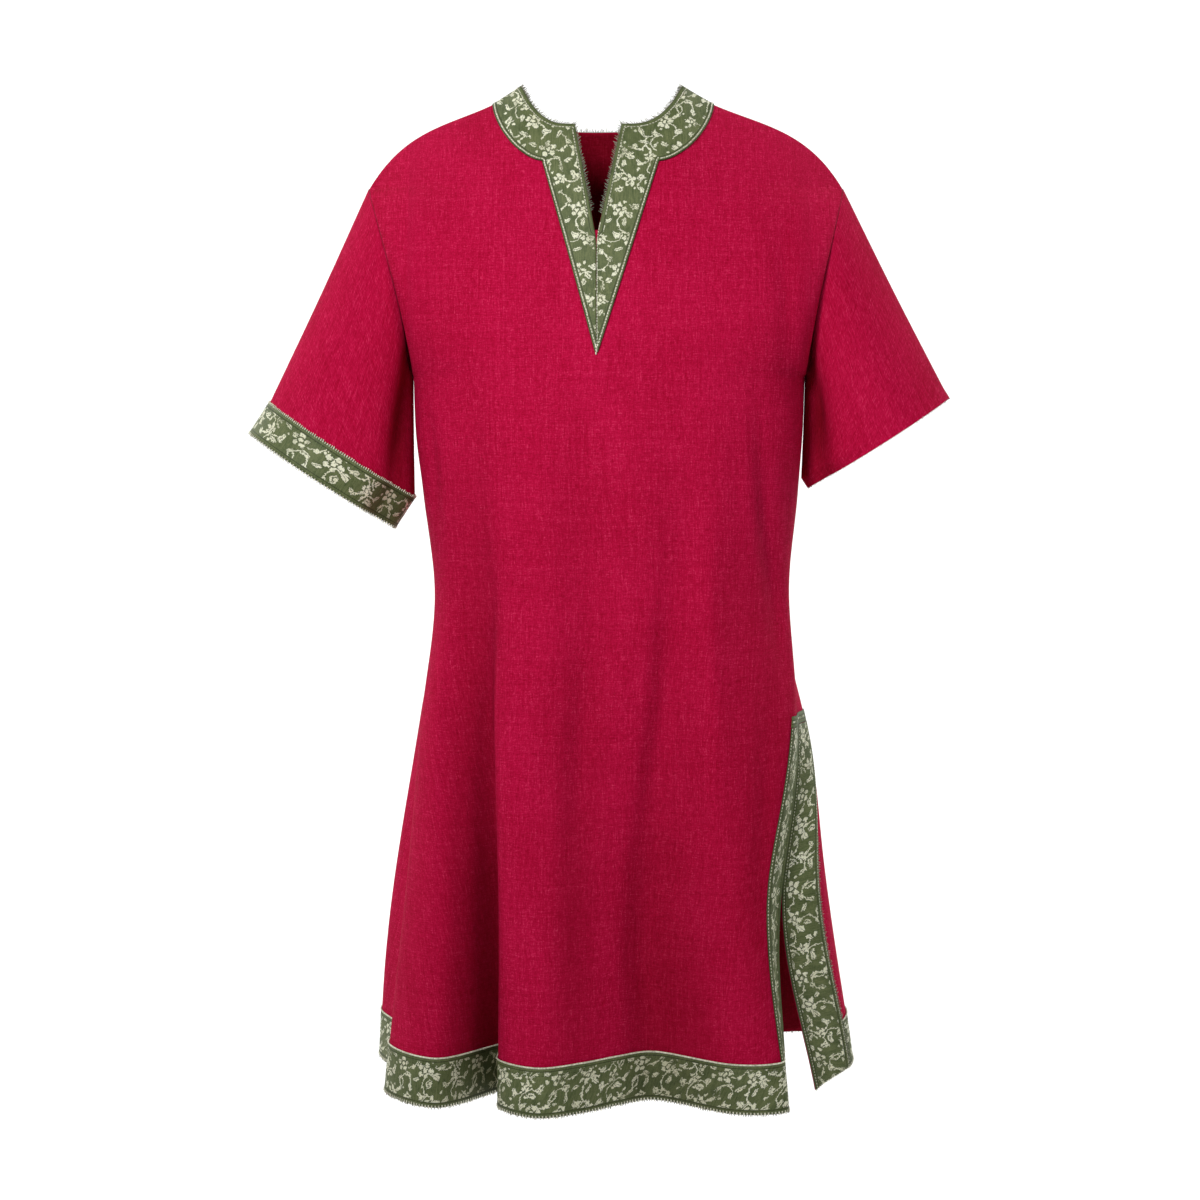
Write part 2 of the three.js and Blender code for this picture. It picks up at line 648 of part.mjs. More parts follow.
function addSleeveWall(name, sleeve, rows, inner, outer, finish) {
  const pointAt = (u, v) => sleevePoint(sleeve, u, v);
  addMesh(name, wallGeometry({
    columns: SLEEVE_SHARES,
    rows,
    pointAt,
    inner,
    outer,
    tube: true,
  }), finish);
}

const SLEEVE_WALL_ROWS = [...SLEEVE_STEPS, ...HEM_ROWS];
addSleeveWall('sleeve_right', SLEEVES.right, SLEEVE_WALL_ROWS, -CLOTH, 0, clothFinish());
addSleeveWall('sleeve_left', SLEEVES.left, SLEEVE_WALL_ROWS, -CLOTH, 0, clothFinish());
addSleeveWall(
  'cuff_band_right', SLEEVES.right, HEM_ROWS, SEAM_GAP, SEAM_GAP + TRIM, brocadeFinish(),
);

export default tunic;
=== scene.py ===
import json
import math

import bpy
import numpy as np
from mathutils import Vector
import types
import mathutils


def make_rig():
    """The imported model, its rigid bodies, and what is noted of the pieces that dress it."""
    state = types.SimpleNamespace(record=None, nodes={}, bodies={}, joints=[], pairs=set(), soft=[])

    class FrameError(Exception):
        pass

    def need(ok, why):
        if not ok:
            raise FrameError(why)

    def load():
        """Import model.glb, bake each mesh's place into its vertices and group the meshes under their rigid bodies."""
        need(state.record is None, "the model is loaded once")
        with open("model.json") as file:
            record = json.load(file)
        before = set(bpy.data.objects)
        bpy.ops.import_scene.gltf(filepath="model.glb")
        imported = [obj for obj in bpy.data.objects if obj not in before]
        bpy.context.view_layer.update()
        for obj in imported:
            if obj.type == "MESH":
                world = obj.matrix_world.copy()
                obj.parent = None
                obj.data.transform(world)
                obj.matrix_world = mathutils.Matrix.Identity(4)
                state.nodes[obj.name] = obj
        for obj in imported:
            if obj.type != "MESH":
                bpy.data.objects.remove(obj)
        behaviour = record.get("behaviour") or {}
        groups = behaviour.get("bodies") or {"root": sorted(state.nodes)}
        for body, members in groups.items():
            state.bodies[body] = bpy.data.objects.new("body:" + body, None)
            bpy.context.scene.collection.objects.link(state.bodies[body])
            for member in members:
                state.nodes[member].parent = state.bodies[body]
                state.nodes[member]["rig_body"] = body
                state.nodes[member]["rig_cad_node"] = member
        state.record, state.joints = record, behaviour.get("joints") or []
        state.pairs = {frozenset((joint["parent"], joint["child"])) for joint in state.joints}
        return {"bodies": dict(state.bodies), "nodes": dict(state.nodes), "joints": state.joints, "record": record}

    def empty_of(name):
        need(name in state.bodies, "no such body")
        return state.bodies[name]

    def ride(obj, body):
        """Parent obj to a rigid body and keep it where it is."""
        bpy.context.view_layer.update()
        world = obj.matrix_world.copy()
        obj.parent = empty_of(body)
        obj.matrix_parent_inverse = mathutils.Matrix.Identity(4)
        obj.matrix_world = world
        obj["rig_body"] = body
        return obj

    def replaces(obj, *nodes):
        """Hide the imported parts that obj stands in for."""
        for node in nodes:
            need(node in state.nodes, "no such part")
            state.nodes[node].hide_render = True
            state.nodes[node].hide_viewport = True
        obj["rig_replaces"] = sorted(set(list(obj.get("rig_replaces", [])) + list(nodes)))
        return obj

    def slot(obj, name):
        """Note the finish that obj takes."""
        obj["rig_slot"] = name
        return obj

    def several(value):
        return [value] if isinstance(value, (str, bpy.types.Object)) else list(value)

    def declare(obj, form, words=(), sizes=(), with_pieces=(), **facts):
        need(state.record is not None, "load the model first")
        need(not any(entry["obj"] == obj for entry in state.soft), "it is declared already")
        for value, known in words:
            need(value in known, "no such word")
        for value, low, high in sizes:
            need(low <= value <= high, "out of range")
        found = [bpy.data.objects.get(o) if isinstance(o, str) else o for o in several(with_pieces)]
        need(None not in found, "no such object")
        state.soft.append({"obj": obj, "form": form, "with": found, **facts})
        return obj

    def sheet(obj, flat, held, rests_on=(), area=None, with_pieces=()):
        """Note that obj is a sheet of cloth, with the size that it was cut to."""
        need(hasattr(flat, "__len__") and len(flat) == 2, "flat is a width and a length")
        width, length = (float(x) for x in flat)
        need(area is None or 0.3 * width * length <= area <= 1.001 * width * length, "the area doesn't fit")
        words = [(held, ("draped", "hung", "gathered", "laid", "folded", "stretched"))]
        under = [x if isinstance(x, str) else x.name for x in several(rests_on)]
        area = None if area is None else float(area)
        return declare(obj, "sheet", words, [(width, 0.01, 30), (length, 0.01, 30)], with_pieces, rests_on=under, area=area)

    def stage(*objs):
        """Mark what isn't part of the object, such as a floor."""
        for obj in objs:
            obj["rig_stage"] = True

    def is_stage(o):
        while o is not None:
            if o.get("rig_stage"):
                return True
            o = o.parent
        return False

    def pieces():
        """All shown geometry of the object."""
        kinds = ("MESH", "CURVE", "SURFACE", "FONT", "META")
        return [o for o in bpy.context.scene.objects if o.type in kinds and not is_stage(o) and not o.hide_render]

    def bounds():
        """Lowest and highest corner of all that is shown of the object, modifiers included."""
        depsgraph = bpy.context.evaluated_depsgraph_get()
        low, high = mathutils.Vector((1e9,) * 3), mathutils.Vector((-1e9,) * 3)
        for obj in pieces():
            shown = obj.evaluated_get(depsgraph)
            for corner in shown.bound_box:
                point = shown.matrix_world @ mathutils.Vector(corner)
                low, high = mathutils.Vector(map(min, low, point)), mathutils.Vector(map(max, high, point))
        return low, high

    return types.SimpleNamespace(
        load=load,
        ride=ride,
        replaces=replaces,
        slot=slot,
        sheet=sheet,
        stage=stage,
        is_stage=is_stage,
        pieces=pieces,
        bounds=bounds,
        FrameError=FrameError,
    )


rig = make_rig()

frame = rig.load()
start_bounds = [list(map(float, corner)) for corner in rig.bounds()]

MM = 0.001

# ---- The garment's driving sizes, in millimetres ----
CLOTH = 1.1
TRIM = 0.9
TRIM_LIFT = 0.35
NECK_LIFT = 0.9
SEAM_GAP = 0.3
UNDERARM = 300.0
HEM_BAND = 51.0
HEM = 1046.0
SLIT_TOP = 650.0
SLIT_BAR = 12.0
SLIT_MEETS = 824.0
ROUNDNESS = 0.88

NECK_HALF = 83.0
SHOULDER_HALF = 246.0
SHOULDER_DROP = 106.0
SHOULDER_SLOPE = 0.29
COLLAR_RISE = 14.0
COLLAR_RUN = 26.0
NECK_DEPTH = 46.0
BACK_NECK_DEPTH = 40.0
NECK_SLIT_HALF = 23.5
NECK_SLIT_END = 157.0
NECK_SLIT_TIP = 1.5
NECK_LEAN = -10.0
LEAN_END = 560.0
SHOULDER_SEAM_Y = -5.0
CHEST_FALL = 200.0
BACK_FALL = 120.0
ARMHOLE_BULGE = 50.0
ARMHOLE_GAP = 0.6

BAND_TIP = 278.0
BAND_TIP_WIDTH = 1.6
BAND_KNEE = (59.0, -84.0)
BAND_SHOULDER = 114.0
BAND_END_DROP = 1.2
BACK_BAND = 38.0

# Powers that give the cut's curves their form.
SHOULDER_FORM = 5
ARMHOLE_FORM = 1.4
BULGE_FORM = 0.6
FALL_FORM = 0.8
NECK_FORM = 2.9
BACK_NECK_FORM = 4
SLIT_FOOT_FORM = 20
COLLAR_FORM = 0.75
BAND_FORM = (1.2, 1.3)
BACK_BAND_FORM = 3.2

NECK_SHARE = NECK_HALF / SHOULDER_HALF
CORNER_SHARE = NECK_SLIT_HALF / SHOULDER_HALF

# Level sections below the arms: level, then half width right, left, and depth front, back.
SECTIONS = np.array([
    (300, 201, 208, 118, 112),
    (360, 198, 206, 121, 114),
    (420, 190, 200, 119, 112),
    (530, 179, 188, 110, 101),
    (660, 200, 204, 104, 104),
    (820, 224, 230, 104, 118),
    (930, 237, 244, 104, 127),
    (1046, 247, 257, 104, 134),
], float)

# Fold lines: bust share, turn at waist, thigh, hem, stand-out at the same levels, hem level.
FRONT_FOLDS = [
    ("side seam", -1, (-90, -89, -90), (0, -20, -25), 1038),
    ("side edge", -0.95, (-77, -68, -69), (2, -4, -2), 1047),
    ("side roll", -0.82, (-61, -46, -41), (2, 5, 15), 1050),
    ("valley", -0.64, (-40, -30, -26), (-8, -49, -71), 1050),
    ("valley edge", -0.53, (-33, -25, -23), (-1, 9, 5), 1049),
    ("main roll", -NECK_SHARE, (-19, -14, -13), (3, 21, 33), 1050),
    ("dip", -CORNER_SHARE, (-4, -5, -4), (-8, 5, 18), 1048),
    ("centre roll", CORNER_SHARE, (10, 2, 2), (-1, -7, -6), 1046),
    ("left dip", NECK_SHARE, (19, 10, 9), (-5, -19, -25), 1046),
    ("left roll", 0.6, (32, 27, 27), (5, 15, 27), 1050),
    ("trim edge", 0.88, (74, 40, 39), (6, 27, 38), 1048),
    ("slit edge", 1, (96, 50, 44), (1, 0, -2), 1047),
]
BACK_FOLDS = [
    ("slit edge", 1, (96, 50, 44), (1, 0, -2), 1048),
    ("trim edge", 0.97, (113, 67, 81), (4, 9, 6), 1024),
    ("left side", 0.88, (122, 90, 100), (7, 1, 8), 1018),
    ("left roll", 0.72, (136, 124, 124), (9, 14, 28), 1018),
    ("left dip", 0.53, (150, 144, 141), (1, -7, -17), 1017),
    ("left back", NECK_SHARE, (164, 163, 162), (3, 12, 22), 1019),
    ("spine", 0, (178, 178, 178), (-4, -23, -36), 1017),
    ("right back", -NECK_SHARE, (192, 193, 193), (2, 11, 21), 1019),
    ("right dip", -0.53, (209, 210, 212), (1, -10, -23), 1017),
    ("right roll", -0.74, (226, 229, 226), (8, 19, 34), 1020),
    ("side roll", -0.94, (248, 254, 246), (7, 10, 24), 1032),
    ("side seam", -1, (270, 271, 270), (0, -20, -25), 1038),
]
FOLDS = {"front": FRONT_FOLDS, "back": BACK_FOLDS}
FOLD_LEVELS = np.array([UNDERARM, 530.0, 820.0, HEM])
# The back edge of the side slit swings out towards the hem: sideways, back, and how late.
SLIT_SWING = (34.0, 41.0, 1.3)

# Sleeves: side, outer and inner end of the lower edge, straight cuff length, half depth.
SLEEVES = {
    "right": dict(side=-1, outer=(372, -358), inner=(221, -457), cuff=38, depth=57),
    "left": dict(side=1, outer=(359, -321), inner=(211, -416), cuff=12, depth=57),
}
# Sleeve folds: place round the tube, width, depth at the armhole, middle and cuff.
SLEEVE_FOLDS = [
    (0.41, 0.055, (4, 15, 12)),
    (0.22, 0.07, (0, -3, -4)),
    (0.64, 0.05, (3, 10, 8)),
    (0.8, 0.07, (0, -3, -4)),
    (0.0, 0.1, (0, 1, 0)),
]
# The way out of a sleeve at its top: sideways and up.
SLEEVE_TURN = (0.85, 0.53)


# ---- Small maths ----
def lerp(a, b, t):
    return a + (b - a) * t


def signed_power(value, power):
    return np.sign(value) * np.abs(value) ** power


def part(value, low, high):
    """How far a value is from low to high, from 0 to 1."""
    return np.clip((value - low) / (high - low), 0, 1)


def smooth_step(value, low, high):
    t = part(value, low, high)
    return t * t * (3 - 2 * t)


def smooth_along(stations, values, at):
    """A cubic Hermite curve through values given at rising stations."""
    stations = np.asarray(stations, float)
    values = np.asarray(values, float)
    slopes = np.empty_like(values)
    slopes[1:-1] = (values[2:] - values[:-2]) / (stations[2:] - stations[:-2])
    slopes[0] = (values[1] - values[0]) / (stations[1] - stations[0])
    slopes[-1] = (values[-1] - values[-2]) / (stations[-1] - stations[-2])
    place = np.clip(at, stations[0], stations[-1])
    i = np.clip(np.searchsorted(stations, place, side="left") - 1, 0, len(stations) - 2)
    span = stations[i + 1] - stations[i]
    t = (place - stations[i]) / span
    t2, t3 = t * t, t * t * t
    ends = (2 * t3 - 3 * t2 + 1) * values[i] + (3 * t2 - 2 * t3) * values[i + 1]
    return ends + span * ((t3 - 2 * t2 + t) * slopes[i] + (t3 - t2) * slopes[i + 1])


# ---- The plain form of the body ----
def section_point(turn, out, level):
    right, left, front, back = (
        smooth_along(SECTIONS[:, 0], SECTIONS[:, k], level) for k in (1, 2, 3, 4))
    angle = np.radians(turn)
    sin, cos = np.sin(angle), np.cos(angle)
    width = np.where(sin > 0, left, right)
    depth = np.where(cos > 0, front, back)
    nx, ny = sin / width, -cos / depth
    size = np.hypot(nx, ny)
    x = width * signed_power(sin, ROUNDNESS) + out * nx / size
    y = -depth * signed_power(cos, ROUNDNESS) + out * ny / size
    return x, y


def face_of(is_front):
    return "front" if is_front else "back"


def fold_point(row, is_front, level):
    name, bust, turns, outs, _ = row
    top = math.degrees(math.asin(math.copysign(abs(bust) ** (1 / ROUNDNESS), bust)))
    top = top if is_front else 180 - top
    turn = smooth_along(FOLD_LEVELS, (top, *turns), level)
    out = smooth_along(FOLD_LEVELS, (0, *outs), level)
    x, y = section_point(turn, out, level)
    if not is_front and name == "slit edge":
        share = np.clip((level - SLIT_MEETS) / (HEM - SLIT_MEETS), 0, None) ** SLIT_SWING[2]
        x = x + SLIT_SWING[0] * share
        y = y + SLIT_SWING[1] * share
    return np.stack([x, y], -1)


def lower_point(is_front, place, level):
    """A point of a panel's level ring: a centripetal curve through the fold lines."""
    folds, other = FOLDS[face_of(is_front)], FOLDS[face_of(not is_front)]
    rows = [fold_point(other[-2], not is_front, level)]
    rows += [fold_point(row, is_front, level) for row in folds]
    rows += [fold_point(other[1], not is_front, level)]
    points = np.stack(rows)
    count = len(rows)
    at = np.clip(place + 1, 0, count - 1)
    i = np.minimum(np.floor(at).astype(int), count - 2)
    t = (at - i)[..., None]

    def pick(index):
        return np.take_along_axis(points, index[None, ..., None], 0)[0]

    p1, p2 = pick(i), pick(i + 1)
    p0 = np.where((i > 0)[..., None], pick(np.maximum(i - 1, 0)), 2 * p1 - p2)
    p3 = np.where((i < count - 2)[..., None], pick(np.minimum(i + 2, count - 1)), 2 * p2 - p1)

    def step(a, b):
        return np.maximum(((a - b) ** 2).sum(-1, keepdims=True) ** 0.25, 1e-4)

    d0, d1, d2 = step(p0, p1), step(p1, p2), step(p2, p3)
    m1 = ((p1 - p0) / d0 - (p2 - p0) / (d0 + d1) + (p2 - p1) / d1) * d1
    m2 = ((p2 - p1) / d1 - (p3 - p1) / (d1 + d2) + (p3 - p2) / d2) * d1
    c2 = -3 * p1 + 3 * p2 - 2 * m1 - m2
    c3 = 2 * p1 - 2 * p2 + m1 + m2
    xy = p1 + m1 * t + c2 * t * t + c3 * t ** 3
    return xy[..., 0], xy[..., 1]


def half_width(x):
    return np.where(x > 0, SECTIONS[0, 2], SECTIONS[0, 1])


def shoulder_height(x):
    run = np.abs(x) - NECK_HALF
    full = SHOULDER_HALF - NECK_HALF
    collar = COLLAR_RISE * (1 - np.exp(-np.maximum(run, 0) / COLLAR_RUN))
    roll = SHOULDER_DROP - COLLAR_RISE - SHOULDER_SLOPE * full
    return -SHOULDER_SLOPE * run - collar - roll * np.clip(run / full, 0, 1) ** SHOULDER_FORM


def armhole_x(side, z):
    share = part(z, -UNDERARM, -SHOULDER_DROP)
    return lerp(half_width(side), SHOULDER_HALF, share ** ARMHOLE_FORM)


def armhole_y(z, face):
    share = part(-z, SHOULDER_DROP, UNDERARM)
    bulge = ARMHOLE_BULGE * (4 * share * (1 - share)) ** BULGE_FORM
    return SHOULDER_SEAM_Y * (1 - share) + face * bulge


def lean_at(share, z):
    settle = smooth_step(z, -LEAN_END, -UNDERARM)
    return NECK_LEAN * np.clip(1 - np.abs(share), 0, 1) ** 2 * settle


def yoke_point(x, z, is_front):
    face, reach = (-1, CHEST_FALL) if is_front else (1, BACK_FALL)

    def fall(drop):
        drop = np.maximum(drop, 0)
        return (drop / (drop + reach)) ** FALL_FORM

    share = np.minimum(np.abs(x) / armhole_x(x, z), 1)
    crown = (1 - share ** (2 / ROUNDNESS)) ** (ROUNDNESS / 2)
    full = -SECTIONS[0, 3] if is_front else SECTIONS[0, 4]
    top = shoulder_height(x)
    centre = lerp(SHOULDER_SEAM_Y, full, fall(top - z) / fall(top + UNDERARM))
    y = lerp(armhole_y(z, face), centre, crown)
    return np.stack([x + lean_at(x / armhole_x(x, z), z), y, z], -1)


def neck_height(x, is_front):
    reach = np.abs(x)
    shoulder = np.minimum(shoulder_height(x), 0)
    if not is_front:
        inside = -BACK_NECK_DEPTH * (1 - np.clip(reach / NECK_HALF, 0, 1) ** BACK_NECK_FORM)
        return np.where(reach > NECK_HALF, shoulder, inside)
    run = part(reach, NECK_SLIT_HALF, NECK_HALF)
    curve = -NECK_DEPTH * (1 - run ** NECK_FORM)
    down = part(reach, NECK_SLIT_TIP, NECK_SLIT_HALF)
    slit = lerp(-NECK_SLIT_END, -NECK_DEPTH, down)
    inside = np.where(reach > NECK_SLIT_HALF, curve, slit)
    return np.where(reach > NECK_HALF, shoulder, inside)


def upper_point(is_front, place, share):
    folds = FOLDS[face_of(is_front)]
    foot_x, _ = lower_point(is_front, place, np.full(place.shape, UNDERARM))
    foot = np.clip(foot_x / half_width(foot_x), -1, 1)
    busts = np.array([row[1] for row in folds], float)
    top = np.interp(place, np.arange(len(folds)), busts)
    across = lerp(top, foot, share)
    z = lerp(neck_height(top * SHOULDER_HALF, is_front), -UNDERARM, share)
    return yoke_point(across * armhole_x(across, z), z, is_front)


def level_of(is_front, place, row):
    folds = FOLDS[face_of(is_front)]
    hem = smooth_along(np.arange(len(folds)), [r[4] for r in folds], place)
    top = hem - HEM_BAND
    level = lerp(UNDERARM, HEM - HEM_BAND, row)
    stretch = (top - SLIT_MEETS) / (HEM - HEM_BAND - SLIT_MEETS)
    level = np.where(level < SLIT_MEETS, level, SLIT_MEETS + (level - SLIT_MEETS) * stretch)
    return np.where(row > 1, lerp(top, hem, row - 1), level)


def panel_point(is_front, place, row):
    """Rows: -1 is the neck and shoulder edge, 0 underarm, 1 top of the hem band, 2 hem."""
    place, row = np.broadcast_arrays(np.asarray(place, float), np.asarray(row, float))
    above = upper_point(is_front, place, np.clip(1 + row, 0, 1))
    level = level_of(is_front, place, np.maximum(row, 0))
    x, y = lower_point(is_front, place, level)
    x = x + lean_at(x / half_width(x), -level)
    below = np.stack([x, y, -level], -1)
    return np.where((row < 0)[..., None], above, below)


def row_of(level):
    return (level - UNDERARM) / (HEM - HEM_BAND - UNDERARM)


# ---- Sleeves ----
def round_sleeve(rows, share, down):
    """What each row amounts to at a place: place round the tube, width, and depths down it."""
    for at, width, depths in rows:
        away = np.abs(np.mod(share, 1) - at)
        place = np.minimum(away, 1 - away) / width
        yield smooth_along((0, 0.5, 1), depths, down) * np.exp(-place * place)


def sleeve_point(sleeve, share, row):
    """Share 0 is the shoulder, a quarter the front. Rows: 0 armhole, 1 cuff top, 2 cuff edge."""
    share, row = np.broadcast_arrays(np.asarray(share, float), np.asarray(row, float))
    side = sleeve["side"]
    turn = share * 2 * np.pi
    head_z = lerp(-SHOULDER_DROP, -UNDERARM, (1 - np.cos(turn)) / 2)
    face = np.where(np.mod(share, 1) < 0.5, -1.0, 1.0)
    head = np.stack([
        side * (armhole_x(np.full(turn.shape, float(side)), head_z) + ARMHOLE_GAP),
        armhole_y(head_z, face), head_z], -1)
    (ox, oz), (ix, iz) = sleeve["outer"], sleeve["inner"]
    length = math.hypot(ix - ox, iz - oz)
    ex, ez = (ix - ox) / length, (iz - oz) / length
    rise = sleeve["cuff"] * (2 - np.maximum(row, 1))
    reach = (1 + np.cos(turn)) / 2
    cuff = np.stack([
        side * (lerp(ix, ox, reach) + ez * rise),
        -sleeve["depth"] * np.sin(turn),
        lerp(iz, oz, reach) - ex * rise], -1)
    down = np.minimum(row, 1)
    point = lerp(head, cuff, down[..., None])
    outwards = np.stack([
        side * SLEEVE_TURN[0] * np.cos(turn), -np.sin(turn), SLEEVE_TURN[1] * np.cos(turn)], -1)
    for depth in round_sleeve(SLEEVE_FOLDS, share, down):
        point = point - outwards * depth[..., None]
    return point


# ---- Creases placed one by one ----
# Each crease runs through points (x, z) of the garment's face, with its half width and its depth,
# which is below zero for a ridge.
CREASES = {
    "front": [
        ([(154, -322), (160, -396), (165, -458), (173, -519), (178, -570), (186, -617)], 8, 5.5),
        ([(140, -340), (147, -440), (156, -540)], 9, -2.2),
        ([(-185, -325), (-178, -396), (-174, -470)], 7, 3.5),
        ([(-18, -560), (-21, -629), (-26, -690), (-32, -800)], 15, 4.4),
        ([(59, -515), (60, -629), (50, -700), (42, -780)], 14, 4.4),
        ([(46, -760), (40, -875), (50, -985)], 20, 6.5),
        ([(178, -128), (183, -224), (189, -320)], 11, 3),
        ([(-176, -150), (-186, -230), (-192, -300)], 10, 2.2),
        ([(-95, -470), (-100, -640), (-98, -880)], 17, -3),
        ([(100, -455), (108, -629), (118, -850)], 16, -4.2),
        ([(168, -600), (164, -700), (158, -800), (156, -880)], 12, 4.5),
        ([(16, -430), (14, -560), (8, -700)], 14, -2),
        ([(-60, -600), (-66, -760), (-62, -930)], 11, 1.8),
        ([(-132, -330), (-128, -430), (-134, -520)], 13, 2),
    ],
    "back": [
        ([(-160, -330), (-166, -430), (-172, -560)], 9, 4.5),
        ([(158, -320), (160, -440), (168, -580)], 9, 4),
        ([(-70, -420), (-62, -560), (-66, -720)], 15, 3.2),
        ([(64, -380), (70, -520), (60, -690)], 14, 3.6),
        ([(4, -470), (-4, -620), (2, -800)], 18, -3),
        ([(-176, -140), (-184, -230), (-190, -310)], 10, 3),
        ([(176, -140), (184, -230), (190, -310)], 10, 2.6),
        ([(-118, -640), (-124, -790), (-120, -930)], 12, 2.4),
        ([(112, -620), (124, -760), (118, -940)], 12, 2.2),
    ],
}


def crease_depth(point, is_front):
    depth = np.zeros(point.shape[:-1])
    for path, width, deep in CREASES[face_of(is_front)]:
        path = np.array(path, float)
        best = np.full(depth.shape, 1e9)
        along = np.zeros(depth.shape)
        total = len(path) - 1
        for k in range(total):
            a = path[k]
            d = path[k + 1] - a
            t = ((point[..., 0] - a[0]) * d[0] + (point[..., 2] - a[1]) * d[1]) / (d @ d)
            t = np.clip(t, 0, 1)
            gap = np.hypot(point[..., 0] - a[0] - t * d[0], point[..., 2] - a[1] - t * d[1])
            nearer = gap < best
            best = np.where(nearer, gap, best)
            along = np.where(nearer, (k + t) / total, along)
        fade = np.sin(np.pi * np.clip(along, 0.02, 0.98)) ** 0.8
        depth += deep * fade * np.exp(-(best / width) ** 2)
    return depth


# Painted shade on the inner skin of the cloth, darkening the inside of the garment.
INSIDE_PAINTED_SHADE = 0.85
# Painted shade in the deep hollows of the folds, darkening the colour where shadow falls: place on the front, width,
# share at fold levels.
FOLD_PAINTED_SHADES = [(2.88, 0.74, (0, 0.3, 0.66, 0.98)), (0.4, 0.8, (0, 0, 0.1, 0.25)),
           (8.0, 0.9, (0, 0.08, 0.36, 0.66)), (5.9, 0.6, (0, 0.1, 0.32, 0.2)),
           (9.75, 0.5, (0, 0.15, 0.42, 0.05))]
# Painted shade in the recess of a sleeve beside the body: place round the tube, width, share at the armhole, middle
# and cuff.
SLEEVE_PAINTED_SHADES = [(0.42, 0.06, (0.3, 0.85, 0.6))]


# How much painted shade lies on a panel's points; only the front gets it.
def hollow_on_panel(is_front, place, row):
    share = np.zeros(np.broadcast_shapes(place.shape, row.shape))
    if is_front:
        level = level_of(True, place, np.maximum(row, 0))
        for at, width, depths in FOLD_PAINTED_SHADES:
            deep = np.clip(smooth_along(FOLD_LEVELS, depths, level), 0, 1)
            share += deep * np.exp(-((place - at) / width) ** 2)
    return np.clip(share, 0, 1)


# How much painted shade lies in a sleeve's recess.
def hollow_on_sleeve(share, row):
    return np.clip(sum(round_sleeve(SLEEVE_PAINTED_SHADES, share, np.minimum(row, 1))), 0, 1)


# ---- Grids of cloth ----
def add_object(name, data):
    thing = bpy.data.objects.new(name, data)
    bpy.context.scene.collection.objects.link(thing)
    return thing


def unit(vectors):
    return vectors / np.maximum(np.linalg.norm(vectors, axis=-1, keepdims=True), 1e-9)


def grid_normals(grid, tube=False):
    if tube:
        across = np.roll(grid, -1, 1) - np.roll(grid, 1, 1)
    else:
        across = np.gradient(grid, axis=1)
    down = np.gradient(grid, axis=0)
    return unit(np.cross(down, across))


def lengths_along(grid, axis):
    step = np.linalg.norm(np.diff(grid, axis=axis), axis=-1)
    pad = [(0, 0), (0, 0)]
    pad[axis] = (1, 0)
    return np.cumsum(np.pad(step, pad), axis=axis)


def wall_object(name, grid, normals, inner, outer, uv, material, tube=False, **shares):
    """A closed wall over a grid of points, from inner to outer along the normals (mm)."""
    skins = np.concatenate([
        (grid + normals * outer).reshape(-1, 3), (grid + normals * inner).reshape(-1, 3)])
    base = np.arange(grid[..., 0].size).reshape(grid.shape[:2])
    skin = base.size
    if tube:
        base = np.concatenate([base, base[:, :1]], 1)
    corners = base[:-1, :-1], base[1:, :-1], base[1:, 1:], base[:-1, 1:]
    a, b, c, d = (corner.ravel() for corner in corners)
    faces = [np.stack([a, b, c, d], -1), np.stack([a, d, c, b], -1) + skin]
    ends = [(base[0], False), (base[-1], True)]
    if not tube:
        ends += [(base[:, 0], True), (base[:, -1], False)]
    for line, flip in ends:
        quad = [line[:-1] + skin, line[:-1], line[1:], line[1:] + skin]
        faces.append(np.stack(quad[::-1] if flip else quad, -1))
    faces = np.concatenate(faces)
    mesh = bpy.data.meshes.new(name)
    mesh.from_pydata((skins * MM).tolist(), [], faces.tolist())
    both = np.concatenate([uv.reshape(-1, 2), uv.reshape(-1, 2)])
    layer = mesh.uv_layers.new(name="cloth")
    loops = np.empty(len(mesh.loops), np.int32)
    mesh.loops.foreach_get("vertex_index", loops)
    layer.data.foreach_set("uv", both[loops].astype(np.float32).ravel())
    for key, share in shares.items():
        attribute = mesh.attributes.new(key, "FLOAT", "POINT")
        # The inner skin takes at least the inside painted shade.
        inner_share = np.maximum(share, INSIDE_PAINTED_SHADE) if key == "hollow" else share
        values = np.concatenate([share.ravel(), inner_share.ravel()]).astype(np.float32)
        attribute.data.foreach_set("value", values)
    mesh.polygons.foreach_set("use_smooth", np.ones(len(mesh.polygons), bool))
    sharp = mesh.attributes.new("sharp_face", "BOOLEAN", "FACE")
    flat = np.zeros(len(faces), bool)
    flat[2 * a.size:] = True
    sharp.data.foreach_set("value", flat)
    mesh.materials.append(material)
    mesh.validate()
    return add_object(name, mesh)


EVENED_ROWS = 0.17
EVENING_PASSES = 14


def creased(point, normals, is_front):
    return point - normals * crease_depth(point, is_front)[..., None]


def panel_grid(is_front, places, rows):
    """A panel's creased face; its slope is evened out where the yoke meets the body."""
    u, v = np.meshgrid(places, rows)
    point = panel_point(is_front, u, v)
    last = len(FOLDS[face_of(is_front)]) - 1
    inside = smooth_step(np.minimum(u, last - u), 0.3, 1.6) * (np.abs(v) < EVENED_ROWS)
    for _ in range(EVENING_PASSES):
        soft = point.copy()
        soft[1:-1] = (point[:-2] + 2 * point[1:-1] + point[2:]) / 4
        point[..., 1] += (soft - point)[..., 1] * inside
    return creased(point, grid_normals(point), is_front)


# ---- Materials ----
def add_node(tree, kind, settings, inputs):
    """One node: its settings first, then its values and links, by input name or number."""
    node = tree.nodes.new(kind)
    for key, value in settings.items():
        setattr(node, key, value)
    for key, value in inputs.items():
        socket = node.inputs[key]
        if isinstance(value, Number):
            value = value.socket
        if isinstance(value, bpy.types.NodeSocket):
            tree.links.new(value, socket)
        else:
            socket.default_value = value
    return node


